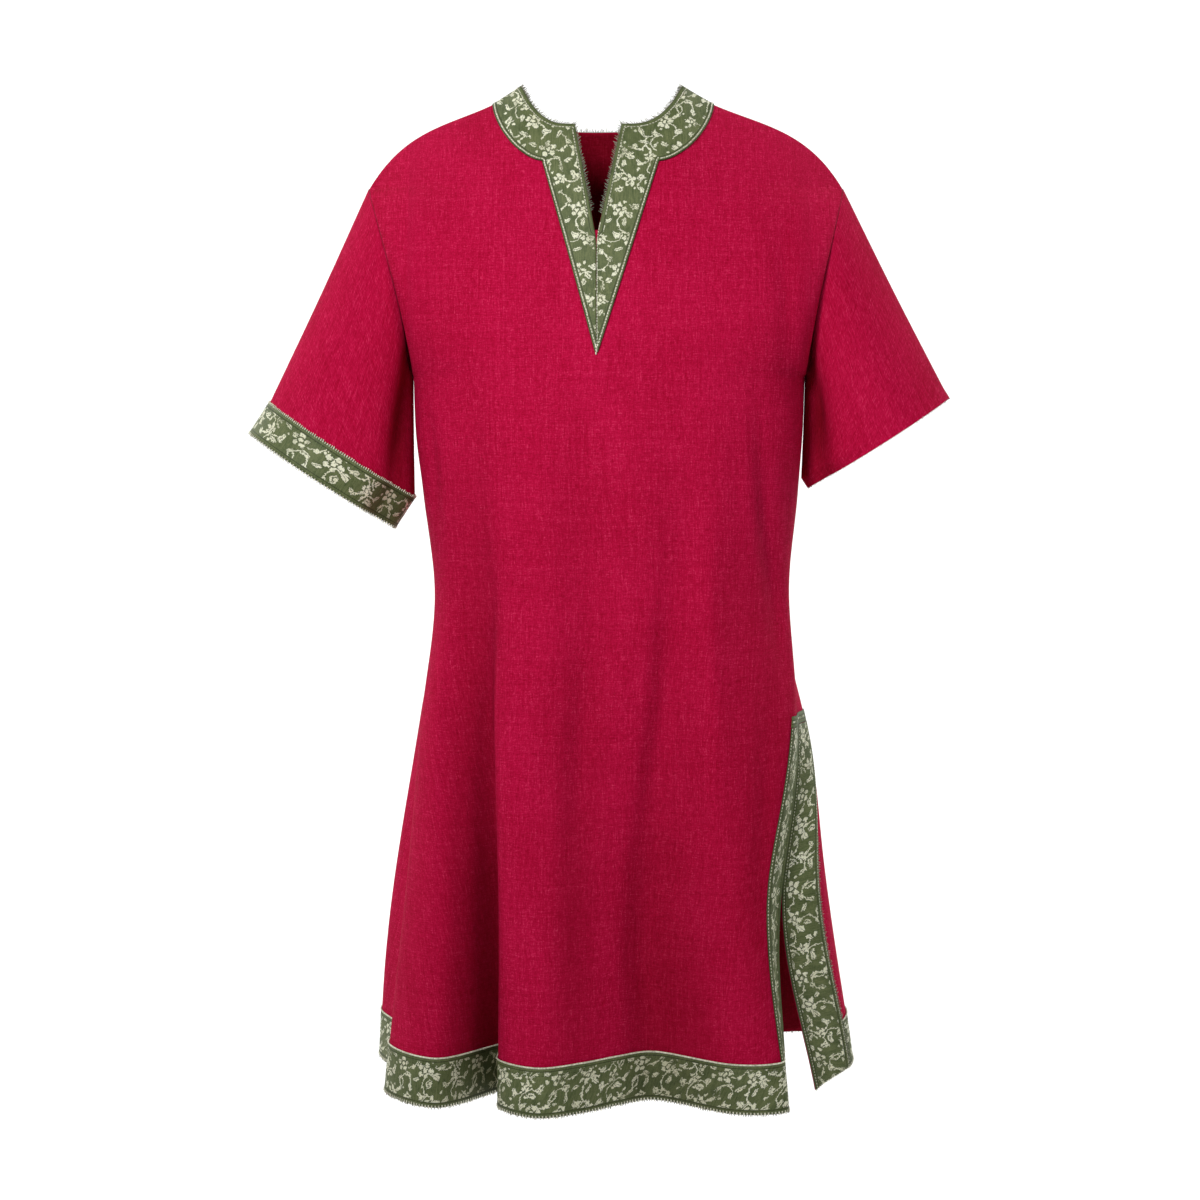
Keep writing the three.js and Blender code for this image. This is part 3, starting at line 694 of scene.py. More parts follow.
class Number:
    """A number in a node tree, with ordinary arithmetic."""

    def __init__(self, tree, socket):
        self.tree = tree
        self.socket = socket

    def do(self, operation, *others):
        inputs = dict(enumerate((self, *others)))
        node = add_node(self.tree, "ShaderNodeMath", {"operation": operation}, inputs)
        return Number(self.tree, node.outputs[0])

    def __add__(self, other):
        return self.do("ADD", other)

    __radd__ = __add__

    def __sub__(self, other):
        return self.do("SUBTRACT", other)

    def __rsub__(self, other):
        return (self * -1.0) + other

    def __mul__(self, other):
        return self.do("MULTIPLY", other)

    __rmul__ = __mul__

    def __truediv__(self, other):
        return self.do("DIVIDE", other)

    def clamped(self):
        return self.do("MAXIMUM", 0.0).do("MINIMUM", 1.0)

    def below(self, edge, soft):
        """1 where the number is under the edge, 0 above, with a soft change."""
        return (((edge - self) / soft) + 0.5).clamped()


def number(tree, node, output=0):
    return Number(tree, node.outputs[output])


def mix_colour(tree, share, first, second, way="MIX"):
    settings = {"data_type": "RGBA", "blend_type": way}
    return add_node(tree, "ShaderNodeMix", settings, {0: share, 6: first, 7: second}).outputs[2]


def stored(tree, name):
    """A number kept on the points of the cloth."""
    return number(tree, add_node(tree, "ShaderNodeAttribute", {"attribute_name": name}, {}), 2)


def new_material(name, roughness, specular):
    material = bpy.data.materials.new(name)
    material.use_nodes = True
    shader = material.node_tree.nodes["Principled BSDF"]
    shader.inputs["Roughness"].default_value = roughness
    shader.inputs["Specular IOR Level"].default_value = specular
    return material, material.node_tree, shader


def cloth_places(tree):
    """The cloth's own flat coordinates, in millimetres."""
    uv = add_node(tree, "ShaderNodeUVMap", {"uv_map": "cloth"}, {})
    split = add_node(tree, "ShaderNodeSeparateXYZ", {}, {0: uv.outputs[0]})
    return number(tree, split, 0) * 1000.0, number(tree, split, 1) * 1000.0


def noise(place, scales, seed=None, detail=2.0, rough=0.5):
    """Noise at a place of two or three numbers, each times its scale, from a seed if there is one."""
    tree = place[0].tree
    inputs = [value * scale for value, scale in zip(place, scales)]
    if seed is not None:
        inputs.append(seed)
    joined = add_node(tree, "ShaderNodeCombineXYZ", {}, dict(enumerate(inputs)))
    node = add_node(tree, "ShaderNodeTexNoise", {}, {
        "Vector": joined.outputs[0], "Scale": 1.0, "Detail": detail, "Roughness": rough})
    return number(tree, node, 0)


def bump(tree, shader, height, strength, distance):
    node = add_node(tree, "ShaderNodeBump", {}, {
        "Strength": strength, "Distance": distance, "Height": height})
    tree.links.new(node.outputs[0], shader.inputs["Normal"])


def linen_material():
    material, tree, shader = new_material("crimson plain weave", 0.88, 0.06)
    cloth = cloth_places(tree)
    warp = noise(cloth, (1.05, 0.12), 1.3, 3.0, 0.65)
    weft = noise(cloth, (0.12, 1.05), 7.9, 3.0, 0.65)
    slub = noise(cloth, (0.4, 0.012), 3.1, 1.0)
    slub_across = noise(cloth, (0.012, 0.4), 5.7, 1.0)
    grain = noise(cloth, (0.62, 0.62), 2.2, 3.0, 0.8)
    wash = noise(cloth, (0.014, 0.01), 9.1, 2.0)
    threads = (warp - 0.5) * 1.5 + (weft - 0.5) * 1.35 + (grain - 0.5) * 1.7
    threads = threads + (slub - 0.5) * 0.45 + (slub_across - 0.5) * 0.35
    tone = (threads * 0.95 + 0.5 + (wash - 0.5) * 0.4).clamped()
    colour = mix_colour(tree, tone, (0.335, 0.0008, 0.021, 1), (0.60, 0.0065, 0.07, 1))
    fuzz = ((threads - 0.18) * 1.3).clamped()
    colour = mix_colour(tree, fuzz, colour, (0.66, 0.05, 0.128, 1))
    # Painted shade: the colour is darkened in folds, recesses and inside the garment.
    colour = mix_colour(tree, stored(tree, "hollow"), colour, (0.34, 0.2, 0.12, 1), "MULTIPLY")
    tree.links.new(colour, shader.inputs["Base Color"])
    bump(tree, shader, threads, 0.55, 0.0006)
    return material


# One repeat of the brocade, in millimetres. Blossom: place, radius, turn.
REPEAT = (96.0, 66.0)
BLOSSOMS = [(13, 14, 8.6, 0.3), (46, 20, 6.6, 1.1), (78, 12, 9.2, 2.0), (62, 46, 8.8, 0.6),
            (24, 47, 7.4, 1.7), (90, 46, 6.6, 2.6)]
# Leaf: place, turn in degrees, length, width.
LEAVES = [
    (24, 20, 35, 12, 5.6), (30, 10, -30, 10, 4.4), (19, 28, 100, 10, 4.6), (3, 25, 150, 10, 4.4),
    (35, 28, 60, 11, 5.0), (55, 29, 20, 12, 5.2), (50, 42, -70, 10, 4.4), (36, 44, 130, 11, 4.8),
    (62, 22, 110, 10, 4.6), (88, 22, 20, 10, 4.4), (76, 27, -60, 10, 4.4), (62, 6, 200, 11, 4.6),
    (74, 40, 160, 11, 4.8), (92, 33, 80, 10, 4.6), (10, 41, 40, 11, 5.0), (14, 57, -20, 11, 4.6),
    (40, 4, 10, 11, 4.6), (52, 8, -50, 9, 4.0), (4, 3, 60, 9, 4.0), (76, 58, -10, 11, 4.8),
    (38, 58, 70, 10, 4.4), (52, 60, 15, 10, 4.6), (90, 60, 120, 9, 4.0),
]
# Stem: centre of the arc, radius, middle of the arc in degrees, half its span in degrees.
STEMS = [
    (24, 28, 12, 200, 95), (36, 18, 11, 20, 90), (55, 34, 11, 220, 100), (68, 30, 12, 60, 85),
    (84, 32, 9, 250, 110), (6, 38, 11, 80, 85), (17, 50, 10, 300, 90), (44, 54, 10, 160, 95),
    (66, 58, 9, 330, 95), (32, 3, 10, 60, 85), (56, 6, 9, 200, 95), (88, 4, 10, 20, 85),
]
DOTS = [(20, 5), (33, 35), (50, 31), (66, 36), (82, 38), (3, 54), (42, 49), (66, 15), (12, 31),
        (93, 14), (30, 57), (58, 55), (84, 52), (38, 12), (4, 9)]


def motif_group(name, inputs, paint):
    """A node group that gives a motif's mask from the place in the repeat."""
    group = bpy.data.node_groups.new(name, "ShaderNodeTree")
    for key in ("u", "v", "x", "y", *inputs):
        group.interface.new_socket(key, in_out="INPUT", socket_type="NodeSocketFloat")
    group.interface.new_socket("mask", in_out="OUTPUT", socket_type="NodeSocketFloat")
    start = group.nodes.new("NodeGroupInput")
    values = [number(group, start, i) for i in range(4 + len(inputs))]
    (width, height) = REPEAT
    du = (values[0] - values[2]).do("WRAP", width / 2, -width / 2)
    dv = (values[1] - values[3]).do("WRAP", height / 2, -height / 2)
    mask = paint(du, dv, *values[4:])
    end = group.nodes.new("NodeGroupOutput")
    group.links.new(mask.socket, end.inputs[0])
    return group


def length_of(du, dv):
    return (du * du + dv * dv).do("SQRT")


def paint_blossom(du, dv, radius, turn):
    reach = length_of(du, dv) / radius
    angle = dv.do("ARCTAN2", du) * 5.0 + turn
    petals = (angle.do("COSINE") * 0.2) + 0.8
    bloom = reach.below(petals, 0.12)
    ring = (reach - 0.34).do("ABSOLUTE").below(0.08, 0.08)
    creases = angle.do("COSINE").below(-0.72, 0.3) * (1.0 - reach.below(0.3, 0.1))
    return (bloom - ring * 0.85 - creases * 0.6).clamped()


def paint_leaf(du, dv, turn, size, width):
    cos, sin = turn.do("COSINE"), turn.do("SINE")
    along = (du * cos + dv * sin) / size * 2.0
    across = dv * cos - du * sin
    edge = (1.0 - along * along) * width * 0.5
    vein = across.do("ABSOLUTE").below(0.3, 0.35) * 0.8
    return (across.do("ABSOLUTE").below(edge, 0.6) - vein).clamped()


def paint_stem(du, dv, radius, middle, half):
    off = (length_of(du, dv) - radius).do("ABSOLUTE")
    turn = (dv.do("ARCTAN2", du) - middle).do("WRAP", math.pi, -math.pi)
    return off.below(0.7, 0.5) * turn.do("ABSOLUTE").below(half, 0.12)


def paint_dot(du, dv, radius):
    return length_of(du, dv).below(radius, 0.5)


def brocade_pattern(tree, u, v):
    blossom = motif_group("blossom", ("radius", "turn"), paint_blossom)
    leaf = motif_group("leaf", ("turn", "length", "width"), paint_leaf)
    stem = motif_group("stem", ("radius", "middle", "half span"), paint_stem)
    dot = motif_group("dot", ("radius",), paint_dot)
    rows = [(blossom, row) for row in BLOSSOMS]
    rows += [(leaf, (x, y, math.radians(turn), size, width)) for x, y, turn, size, width in LEAVES]
    rows += [(stem, (x, y, radius, math.radians(middle), math.radians(half)))
             for x, y, radius, middle, half in STEMS]
    rows += [(dot, (x, y, 1.6)) for x, y in DOTS]
    pattern = None
    for group, values in rows:
        inputs = {0: u, 1: v, **{2 + i: value for i, value in enumerate(values)}}
        mask = number(tree, add_node(tree, "ShaderNodeGroup", {"node_tree": group}, inputs))
        pattern = mask if pattern is None else pattern.do("MAXIMUM", mask)
    return pattern


# The bands' plain border and the dark line woven in it, in millimetres from the edge.
PLAIN_BORDER = 5.2
BORDER_LINE = 4.3


def brocade_material():
    material, tree, shader = new_material("green figured weave", 0.6, 0.3)
    cloth = u, v = cloth_places(tree)
    rim = stored(tree, "rim") * 1000.0
    sway = [(noise(cloth, (0.13, 0.13), seed) - 0.5) * 7.0 for seed in (1.1, 6.3)]
    ragged = [(noise(cloth, (0.55, 0.55), seed) - 0.5) * 4.2 for seed in (2.7, 8.9)]
    pattern = brocade_pattern(tree, u + sway[0] + ragged[0], v + sway[1] + ragged[1])
    fine = noise(cloth, (0.9, 0.9), 4.4, 3.0, 0.75)
    worn = noise(cloth, (0.045, 0.045), 5.2, 1.0)
    pattern = (pattern - (fine - 0.46).clamped() * 3.0 - (worn - 0.56).clamped() * 2.2).clamped()
    flecks = (fine - 0.64).clamped() * 3.0 * (1.0 - (worn - 0.45).clamped() * 4.0).clamped()
    pattern = (pattern + flecks).clamped()
    rib = noise(cloth, (1.0, 0.1), 3.3, 2.0, 0.6)
    wash = noise(cloth, (0.05, 0.05), 8.1)
    ground_tone = ((rib - 0.5) * 1.4 + (wash - 0.5) * 0.9 + (fine - 0.5) * 1.5 + 0.5).clamped()
    ground = mix_colour(tree, ground_tone, (0.048, 0.072, 0.022, 1), (0.17, 0.195, 0.078, 1))
    thread = mix_colour(tree, worn, (0.95, 0.95, 0.78, 1), (0.62, 0.62, 0.40, 1))
    inside = 1.0 - rim.below(PLAIN_BORDER, 0.8)
    share = ((pattern - 0.3) * 2.2).clamped() * inside
    # Painted shadow: the ground darkens round each motif.
    painted_motif_shadow = (pattern * 4.0).clamped() * inside
    ground = mix_colour(tree, painted_motif_shadow * 0.55, ground, (0.02, 0.028, 0.008, 1))
    colour = mix_colour(tree, share, ground, thread)
    line = (rim - BORDER_LINE).do("ABSOLUTE").below(0.45, 0.5)
    colour = mix_colour(tree, line * 0.8, colour, (0.022, 0.03, 0.010, 1))
    colour = mix_colour(tree, rim.below(0.9, 0.8) * 0.6, colour, (0.04, 0.055, 0.02, 1))
    # Painted shade: the bands darken with the painted shade of the folds beneath them.
    colour = mix_colour(tree, stored(tree, "hollow"), colour, (0.4, 0.38, 0.3, 1), "MULTIPLY")
    tree.links.new(colour, shader.inputs["Base Color"])
    bump(tree, shader, rib * 0.5 + share * 0.7 + fine * 0.6, 0.55, 0.0005)
    return material


MATERIALS = {"crimson_cloth": linen_material(), "green_brocade": brocade_material()}


# ---- The panels ----
CLOTH_WALL = (-CLOTH, 0)
TRIM_WALL = (TRIM_LIFT, TRIM_LIFT + TRIM)
NECK_WALL = (NECK_LIFT, NECK_LIFT + TRIM)
SEAM_INSET = 0.006
PIECES = {}


def add_piece(node, slot, sheet, wall, uv, tube=False, **shares):
    """One piece of the garment, in place of the plain solid with that name."""
    thing = wall_object(node, *sheet, *wall, uv, MATERIALS[slot], tube, **shares)
    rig.ride(thing, "root")
    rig.replaces(thing, node)
    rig.slot(thing, slot)
    PIECES[node] = {"thing": thing, "slot": slot, "sheet": sheet, "threads": []}


def spaced(stops, step):
    """Places through the stops, with about so many steps in each unit."""
    out = []
    for a, b in zip(stops[:-1], stops[1:]):
        n = max(1, round((b - a) * step))
        out += [a + (b - a) * i / n for i in range(n)]
    return np.array(out + [stops[-1]])


def flat_uv(grid):
    return np.stack([lengths_along(grid, 1), lengths_along(grid, 0)], -1) * MM


def from_edges(across, axis=0):
    """How far each point is from the nearer of a band's two edges."""
    return np.minimum(across, across.max(axis, keepdims=True) - across)


def panel_uv(grid, rows):
    """The weave's threads run level and plumb; above the underarm they are found from in front."""
    across, down = lengths_along(grid, 1), lengths_along(grid, 0)
    across -= across[:, [grid.shape[1] // 2]]
    first = int(np.argmin(np.abs(rows)))
    down += -grid[first, :, 2] - down[first]
    turn = 1 if grid[first, -1, 0] > grid[first, 0, 0] else -1
    x, u = (grid[first, :, 0] * turn), across[first]
    above = grid[:first, :, 0] * turn
    reach = np.interp(above, x, u) + np.minimum(above - x[0], 0) + np.maximum(above - x[-1], 0)
    across[:first] = reach
    down[:first] = -grid[:first, :, 2]
    return np.stack([across, down], -1) * MM


def add_panel(name, is_front, per_fold):
    folds = FOLDS[face_of(is_front)]
    last = len(folds) - 1
    places = np.clip(spaced(list(range(last + 1)), per_fold), SEAM_INSET, last - SEAM_INSET)
    yoke = np.linspace(0, 1, 90) ** 1.15 - 1
    body = np.linspace(0, 1, 130)[1:]
    hem = np.linspace(1, 2, 12)[1:]
    rows = np.concatenate([yoke, body, hem])
    grid = panel_grid(is_front, places, rows)
    normals = grid_normals(grid)
    normals[0, :, 1] = 0
    normals[0] = unit(normals[0])
    hollow = hollow_on_panel(is_front, *np.meshgrid(places, rows))
    add_piece(name, "crimson_cloth", (grid, normals), CLOTH_WALL, panel_uv(grid, rows), hollow=hollow)


add_panel("body_front", True, 13)
add_panel("body_back", False, 11)


def add_trim(name, is_front, places, rows, level=True):
    """A band on a panel, level as at the hem or upright as at the slit."""
    grid = panel_grid(is_front, places, rows)
    uv = flat_uv(grid)
    rim = from_edges(uv[..., 1]) if level else from_edges(uv[..., 0], 1)
    hollow = hollow_on_panel(is_front, *np.meshgrid(places, rows))
    add_piece(name, "green_brocade", (grid, grid_normals(grid)), TRIM_WALL,
              uv if level else uv[..., ::-1], rim=rim, hollow=hollow)


FRONT_LAST = len(FRONT_FOLDS) - 1
BACK_LAST = len(BACK_FOLDS) - 1
# The fold lines that the slit bands reach to.
FRONT_TRIM = 10
BACK_TRIM = 1
HEM_ROWS = np.linspace(1, 2, 14)
add_trim("hem_band_front", True, np.linspace(SEAM_INSET, FRONT_LAST - SEAM_INSET, 190), HEM_ROWS)
add_trim("hem_band_back", False, np.linspace(BACK_TRIM + 0.004, BACK_LAST - SEAM_INSET, 170),
         HEM_ROWS)
slit_rows = np.linspace(row_of(SLIT_TOP + SLIT_BAR + SEAM_GAP), row_of(HEM - HEM_BAND - 0.5), 110)
add_trim("slit_band_front", True, np.linspace(FRONT_TRIM, FRONT_LAST - SEAM_INSET, 14), slit_rows,
         level=False)
slit_rows = np.concatenate([slit_rows[:-1], np.linspace(slit_rows[-1], 2, 20)])
add_trim("slit_band_back", False, np.linspace(SEAM_INSET, BACK_TRIM, 14), slit_rows, level=False)


def add_bar():
    rows = np.linspace(row_of(SLIT_TOP), row_of(SLIT_TOP + SLIT_BAR - SEAM_GAP), 5)
    ahead = panel_grid(True, np.linspace(FRONT_TRIM, FRONT_LAST, 12), rows)
    behind = panel_grid(False, np.linspace(0, BACK_TRIM, 14)[1:], rows)
    grid = np.concatenate([ahead, behind], 1)
    uv = flat_uv(grid)
    rim = from_edges(uv[..., 1])
    add_piece("slit_bar", "green_brocade", (grid, grid_normals(grid)), TRIM_WALL, uv,
              rim=rim, hollow=rim * 0)


add_bar()


# ---- Neck bands ----
# Places along a front neck band: 0 its lower tip, then the slit's foot, the collar's corner, and 1
# the shoulder.
ALONG_SLIT_END = 0.3
ALONG_CORNER = 0.62
# The share of the outer edge's straight part that lies below the slit's foot.
KNEE_SHARE = 0.57
# Added to the distance from a joined edge, so that no plain border is drawn there.
PAST_BORDER = 6.5
# The figured weave's size across and down on the neck bands, and its shift on the right band.
NECK_WEAVE = (1.04, 1.08)
NECK_WEAVE_SHIFT = 0.043


def band_inner_edge(along):
    share = np.clip(along / ALONG_SLIT_END, 0, 1)
    x1 = SEAM_GAP + NECK_SLIT_TIP * share ** SLIT_FOOT_FORM
    z1 = lerp(-BAND_TIP, -NECK_SLIT_END, share)
    share = part(along, ALONG_SLIT_END, ALONG_CORNER)
    x2 = lerp(NECK_SLIT_TIP + SEAM_GAP, NECK_SLIT_HALF, share)
    z2 = neck_height(x2, True)
    share = part(along, ALONG_CORNER, 1)
    x3 = lerp(NECK_SLIT_HALF, NECK_HALF, share ** COLLAR_FORM)
    z3 = neck_height(x3, True) - BAND_END_DROP * share
    first, second = along < ALONG_SLIT_END, along < ALONG_CORNER
    return np.where(first, x1, np.where(second, x2, x3)), np.where(first, z1, np.where(second, z2, z3))


def band_outer_edge(along):
    share = np.where(
        along < ALONG_SLIT_END, KNEE_SHARE * along / ALONG_SLIT_END,
        lerp(KNEE_SHARE, 1, (along - ALONG_SLIT_END) / (ALONG_CORNER - ALONG_SLIT_END)))
    x1, z1 = lerp(BAND_TIP_WIDTH, BAND_KNEE[0], share), lerp(-BAND_TIP, BAND_KNEE[1], share)
    angle = part(along, ALONG_CORNER, 1) * np.pi / 2
    top = shoulder_height(BAND_SHOULDER) - BAND_END_DROP
    x2 = lerp(BAND_KNEE[0], BAND_SHOULDER, np.sin(angle) ** BAND_FORM[0])
    z2 = lerp(top, BAND_KNEE[1], np.clip(np.cos(angle), 0, 1) ** BAND_FORM[1])
    straight = along < ALONG_CORNER
    return np.where(straight, x1, x2), np.where(straight, z1, z2)


def add_neck_band(name, grid, is_front, shift=0.0, joined=0.0):
    """A neck band; where its inner edge is joined to the other band it has no border."""
    grid = creased(grid, grid_normals(grid), is_front)
    across = lengths_along(grid, 0) * MM
    rim = np.minimum(across + joined * PAST_BORDER * MM, across.max(0) - across)
    width, height = NECK_WEAVE
    uv = np.stack([grid[..., 0] * width, -grid[..., 2] * height], -1) * MM
    uv[..., 0] += shift
    add_piece(name, "green_brocade", (grid, grid_normals(grid)), NECK_WALL, uv,
              rim=rim, hollow=rim * 0)


def add_front_neck_band(name, hand):
    along = np.concatenate([
        np.linspace(0, ALONG_SLIT_END, 40)[:-1], np.linspace(ALONG_SLIT_END, ALONG_CORNER, 40)[:-1],
        np.linspace(ALONG_CORNER, 1, 60)])
    if hand < 0:
        along = along[::-1]
    u, v = np.meshgrid(along, np.linspace(0, 1, 16))
    (ix, iz), (ox, oz) = band_inner_edge(u), band_outer_edge(u)
    grid = yoke_point(hand * lerp(ix, ox, v), lerp(iz, oz, v), True)
    joined = np.clip((ALONG_SLIT_END - along) / 0.02, 0, 1)
    add_neck_band(name, grid, True, NECK_WEAVE_SHIFT if hand < 0 else 0.0, joined)


add_front_neck_band("neck_band_front_right", -1)
add_front_neck_band("neck_band_front_left", 1)


def back_band_grid():
    u, v = np.meshgrid(np.linspace(-1, 1, 100), np.linspace(0, 1, 14))
    sweep = np.sin(u * np.pi / 2)
    reach = np.abs(sweep)
    drop = BAND_END_DROP * reach
    ix, iz = -NECK_HALF * sweep, neck_height(NECK_HALF * sweep, False) - drop
    ox = -BAND_SHOULDER * sweep
    low = -BACK_NECK_DEPTH - BACK_BAND
    oz = lerp(low, shoulder_height(BAND_SHOULDER), reach ** BACK_BAND_FORM) - drop
    return yoke_point(lerp(ix, ox, v), lerp(iz, oz, v), False)


add_neck_band("neck_band_back", back_band_grid(), False)


# ---- The sleeves and the cuff band ----
SLEEVE_COLUMNS = 150
SLEEVE_ROWS = np.concatenate([np.linspace(0, 1, 100), np.linspace(1, 2, 14)[1:]])
# The weave's width once round a sleeve, in metres.
SLEEVE_WEAVE = 0.42


def add_sleeve(name, hand, rows, slot, wall):
    sleeve = SLEEVES[hand]
    round_the_tube = np.arange(SLEEVE_COLUMNS) / SLEEVE_COLUMNS
    shares = np.mod(1 - round_the_tube, 1) if hand == "left" else round_the_tube
    u, v = np.meshgrid(shares, rows)
    grid = sleeve_point(sleeve, u, v)
    uv = np.stack([
        np.broadcast_to(round_the_tube * SLEEVE_WEAVE, u.shape), lengths_along(grid, 0) * MM], -1)
    add_piece(name, slot, (grid, grid_normals(grid, tube=True)), wall, uv, tube=True,
              rim=from_edges(uv[..., 1]), hollow=hollow_on_sleeve(u, v))


add_sleeve("sleeve_right", "right", SLEEVE_ROWS, "crimson_cloth", CLOTH_WALL)
add_sleeve("sleeve_left", "left", SLEEVE_ROWS, "crimson_cloth", CLOTH_WALL)
add_sleeve("cuff_band_right", "right", HEM_ROWS, "green_brocade", TRIM_WALL)


# ---- Stitches, piping and frayed edges ----
def border(piece, side, inset, lift, first=0.0, last=1.0):
    """A line along one side of a piece: points, the way out of the piece, and the face's way."""
    grid, normals = PIECES[piece]["sheet"]
    if side in ("left", "right"):
        grid, normals = grid.swapaxes(0, 1), normals.swapaxes(0, 1)
    if side in ("bottom", "right"):
        grid, normals = grid[::-1], normals[::-1]
    start, stop = int(first * (grid.shape[1] - 1)), int(last * (grid.shape[1] - 1)) + 1
    grid, normals = grid[:, start:stop], normals[:, start:stop]
    depth = lengths_along(grid, 0)
    line = np.empty(grid.shape[1:])
    for column, k in np.ndindex(line.shape):
        line[column, k] = np.interp(inset, depth[:, column], grid[:, column, k])
    way = unit(grid[0] - grid[min(3, len(grid) - 1)])
    return line + normals[0] * lift, way, normals[0]


def along_line(line):
    """The same line, with the way running along it."""
    points, _, face = line
    return points, unit(np.gradient(points, axis=0)), face


def line_object(name, line):
    points = line[0]
    edges = [(i, i + 1) for i in range(len(points) - 1)]
    mesh = bpy.data.meshes.new(name)
    mesh.from_pydata((points * MM).tolist(), edges, [])
    for key, values in zip(("way", "face"), line[1:]):
        attribute = mesh.attributes.new(key, "FLOAT_VECTOR", "POINT")
        attribute.data.foreach_set("vector", values.astype(np.float32).ravel())
    return add_object(name, mesh)


def new_tree(name, inputs):
    """A geometry tree with named inputs, and the socket identifier of each."""
    tree = bpy.data.node_groups.new(name, "GeometryNodeTree")
    tree.interface.new_socket("Geometry", in_out="INPUT", socket_type="NodeSocketGeometry")
    keys = {}
    for key, kind in inputs:
        item = tree.interface.new_socket(key, in_out="INPUT", socket_type="NodeSocket" + kind)
        keys[key] = item.identifier
    tree.interface.new_socket("Geometry", in_out="OUTPUT", socket_type="NodeSocketGeometry")
    start = tree.nodes.new("NodeGroupInput")
    return tree, keys, {socket.name: socket for socket in start.outputs}


def close_tree(tree, geometry, material):
    real = add_node(tree, "GeometryNodeRealizeInstances", {}, {"Geometry": geometry})
    dressed = add_node(tree, "GeometryNodeSetMaterial", {}, {
        "Geometry": real.outputs[0], "Material": material})
    end = tree.nodes.new("NodeGroupOutput")
    tree.links.new(dressed.outputs[0], end.inputs[0])


def strand_tree():
    """Short threads standing along a line, each pointing the line's way, a little astray."""
    tree, keys, given = new_tree("strands", [
        ("Spacing", "Float"), ("Length", "Float"), ("Spread", "Float"), ("Radius", "Float"),
        ("Tip", "Float"), ("Astray", "Float"), ("Seed", "Int"), ("Material", "Material")])
    curve = add_node(tree, "GeometryNodeMeshToCurve", {}, {0: given["Geometry"]})
    spots = add_node(tree, "GeometryNodeResampleCurve", {"mode": "LENGTH"}, {
        "Curve": curve.outputs[0], "Length": given["Spacing"]})
    vector = {"data_type": "FLOAT_VECTOR"}
    way = add_node(tree, "GeometryNodeInputNamedAttribute", vector, {"Name": "way"})
    face = add_node(tree, "GeometryNodeInputNamedAttribute", vector, {"Name": "face"})
    stray = add_node(tree, "FunctionNodeRandomValue", vector, {
        0: (-1, -1, -1), 1: (1, 1, 1), "Seed": given["Seed"]})
    stray = add_node(tree, "ShaderNodeVectorMath", {"operation": "SCALE"}, {
        0: stray.outputs[0], "Scale": given["Astray"]})
    aim = add_node(tree, "ShaderNodeVectorMath", {"operation": "ADD"}, {
        0: way.outputs[0], 1: stray.outputs[0]})
    turn = add_node(tree, "FunctionNodeAxesToRotation", {
        "primary_axis": "Z", "secondary_axis": "X"}, {0: aim.outputs[0], 1: face.outputs[0]})
    least = number(tree, add_node(tree, "ShaderNodeMath", {"operation": "SUBTRACT"}, {
        0: 1.0, 1: given["Spread"]}))
    size = add_node(tree, "FunctionNodeRandomValue", {"data_type": "FLOAT"}, {
        2: least, 3: 1.0, "Seed": given["Seed"]})
    length = Number(tree, size.outputs[1]) * Number(tree, given["Length"])
    scale = add_node(tree, "ShaderNodeCombineXYZ", {}, {
        0: given["Radius"], 1: given["Radius"], 2: length})
    thread = add_node(tree, "GeometryNodeMeshCone", {}, {
        "Vertices": 5, "Radius Top": given["Tip"], "Radius Bottom": 1.0, "Depth": 1.0})
    threads = add_node(tree, "GeometryNodeInstanceOnPoints", {}, {
        "Points": spots.outputs[0], "Instance": thread.outputs[0],
        "Rotation": turn.outputs[0], "Scale": scale.outputs[0]})
    close_tree(tree, threads.outputs[0], given["Material"])
    return tree, keys


def cord_tree():
    """A round cord along a line."""
    tree, keys, given = new_tree("piping", [("Radius", "Float"), ("Material", "Material")])
    curve = add_node(tree, "GeometryNodeMeshToCurve", {}, {0: given["Geometry"]})
    ring = add_node(tree, "GeometryNodeCurvePrimitiveCircle", {}, {
        "Resolution": 6, "Radius": given["Radius"]})
    cord = add_node(tree, "GeometryNodeCurveToMesh", {}, {
        "Curve": curve.outputs[0], "Profile Curve": ring.outputs[0], "Fill Caps": True})
    close_tree(tree, cord.outputs[0], given["Material"])
    return tree, keys


STRANDS = strand_tree()
CORD = cord_tree()


def add_threads(name, piece, line, kind, thread, sizes, **values):
    """Threads made along a line, as a plain mesh that goes with the piece it is sewn on."""
    tree, keys = kind
    source = line_object(name + "_line", line)
    modifier = source.modifiers.new("threads", "NODES")
    modifier.node_group = tree
    modifier[keys["Material"]] = thread
    for key, value in sizes.items():
        modifier[keys[key]] = value * MM
    for key, value in values.items():
        modifier[keys[key]] = value
    view = bpy.context.evaluated_depsgraph_get()
    mesh = bpy.data.meshes.new_from_object(source.evaluated_get(view))
    mesh.name = name
    bpy.data.objects.remove(source)
    thing = add_object(name, mesh)
    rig.ride(thing, "root")
    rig.slot(thing, PIECES[piece]["slot"])
    PIECES[piece]["threads"].append(thing)


def thread_material(name, first, second):
    material, tree, shader = new_material(name, 0.75, 0.2)
    origin = add_node(tree, "ShaderNodeTexCoord", {}, {}).outputs["Object"]
    split = add_node(tree, "ShaderNodeSeparateXYZ", {}, {0: origin})
    place = [number(tree, split, i) * 1000.0 for i in range(3)]
    tone = ((noise(place, (0.45, 0.45, 0.45)) - 0.5) * 2.4 + 0.5).clamped()
    tree.links.new(mix_colour(tree, tone, (*first, 1), (*second, 1)), shader.inputs["Base Color"])
    return material


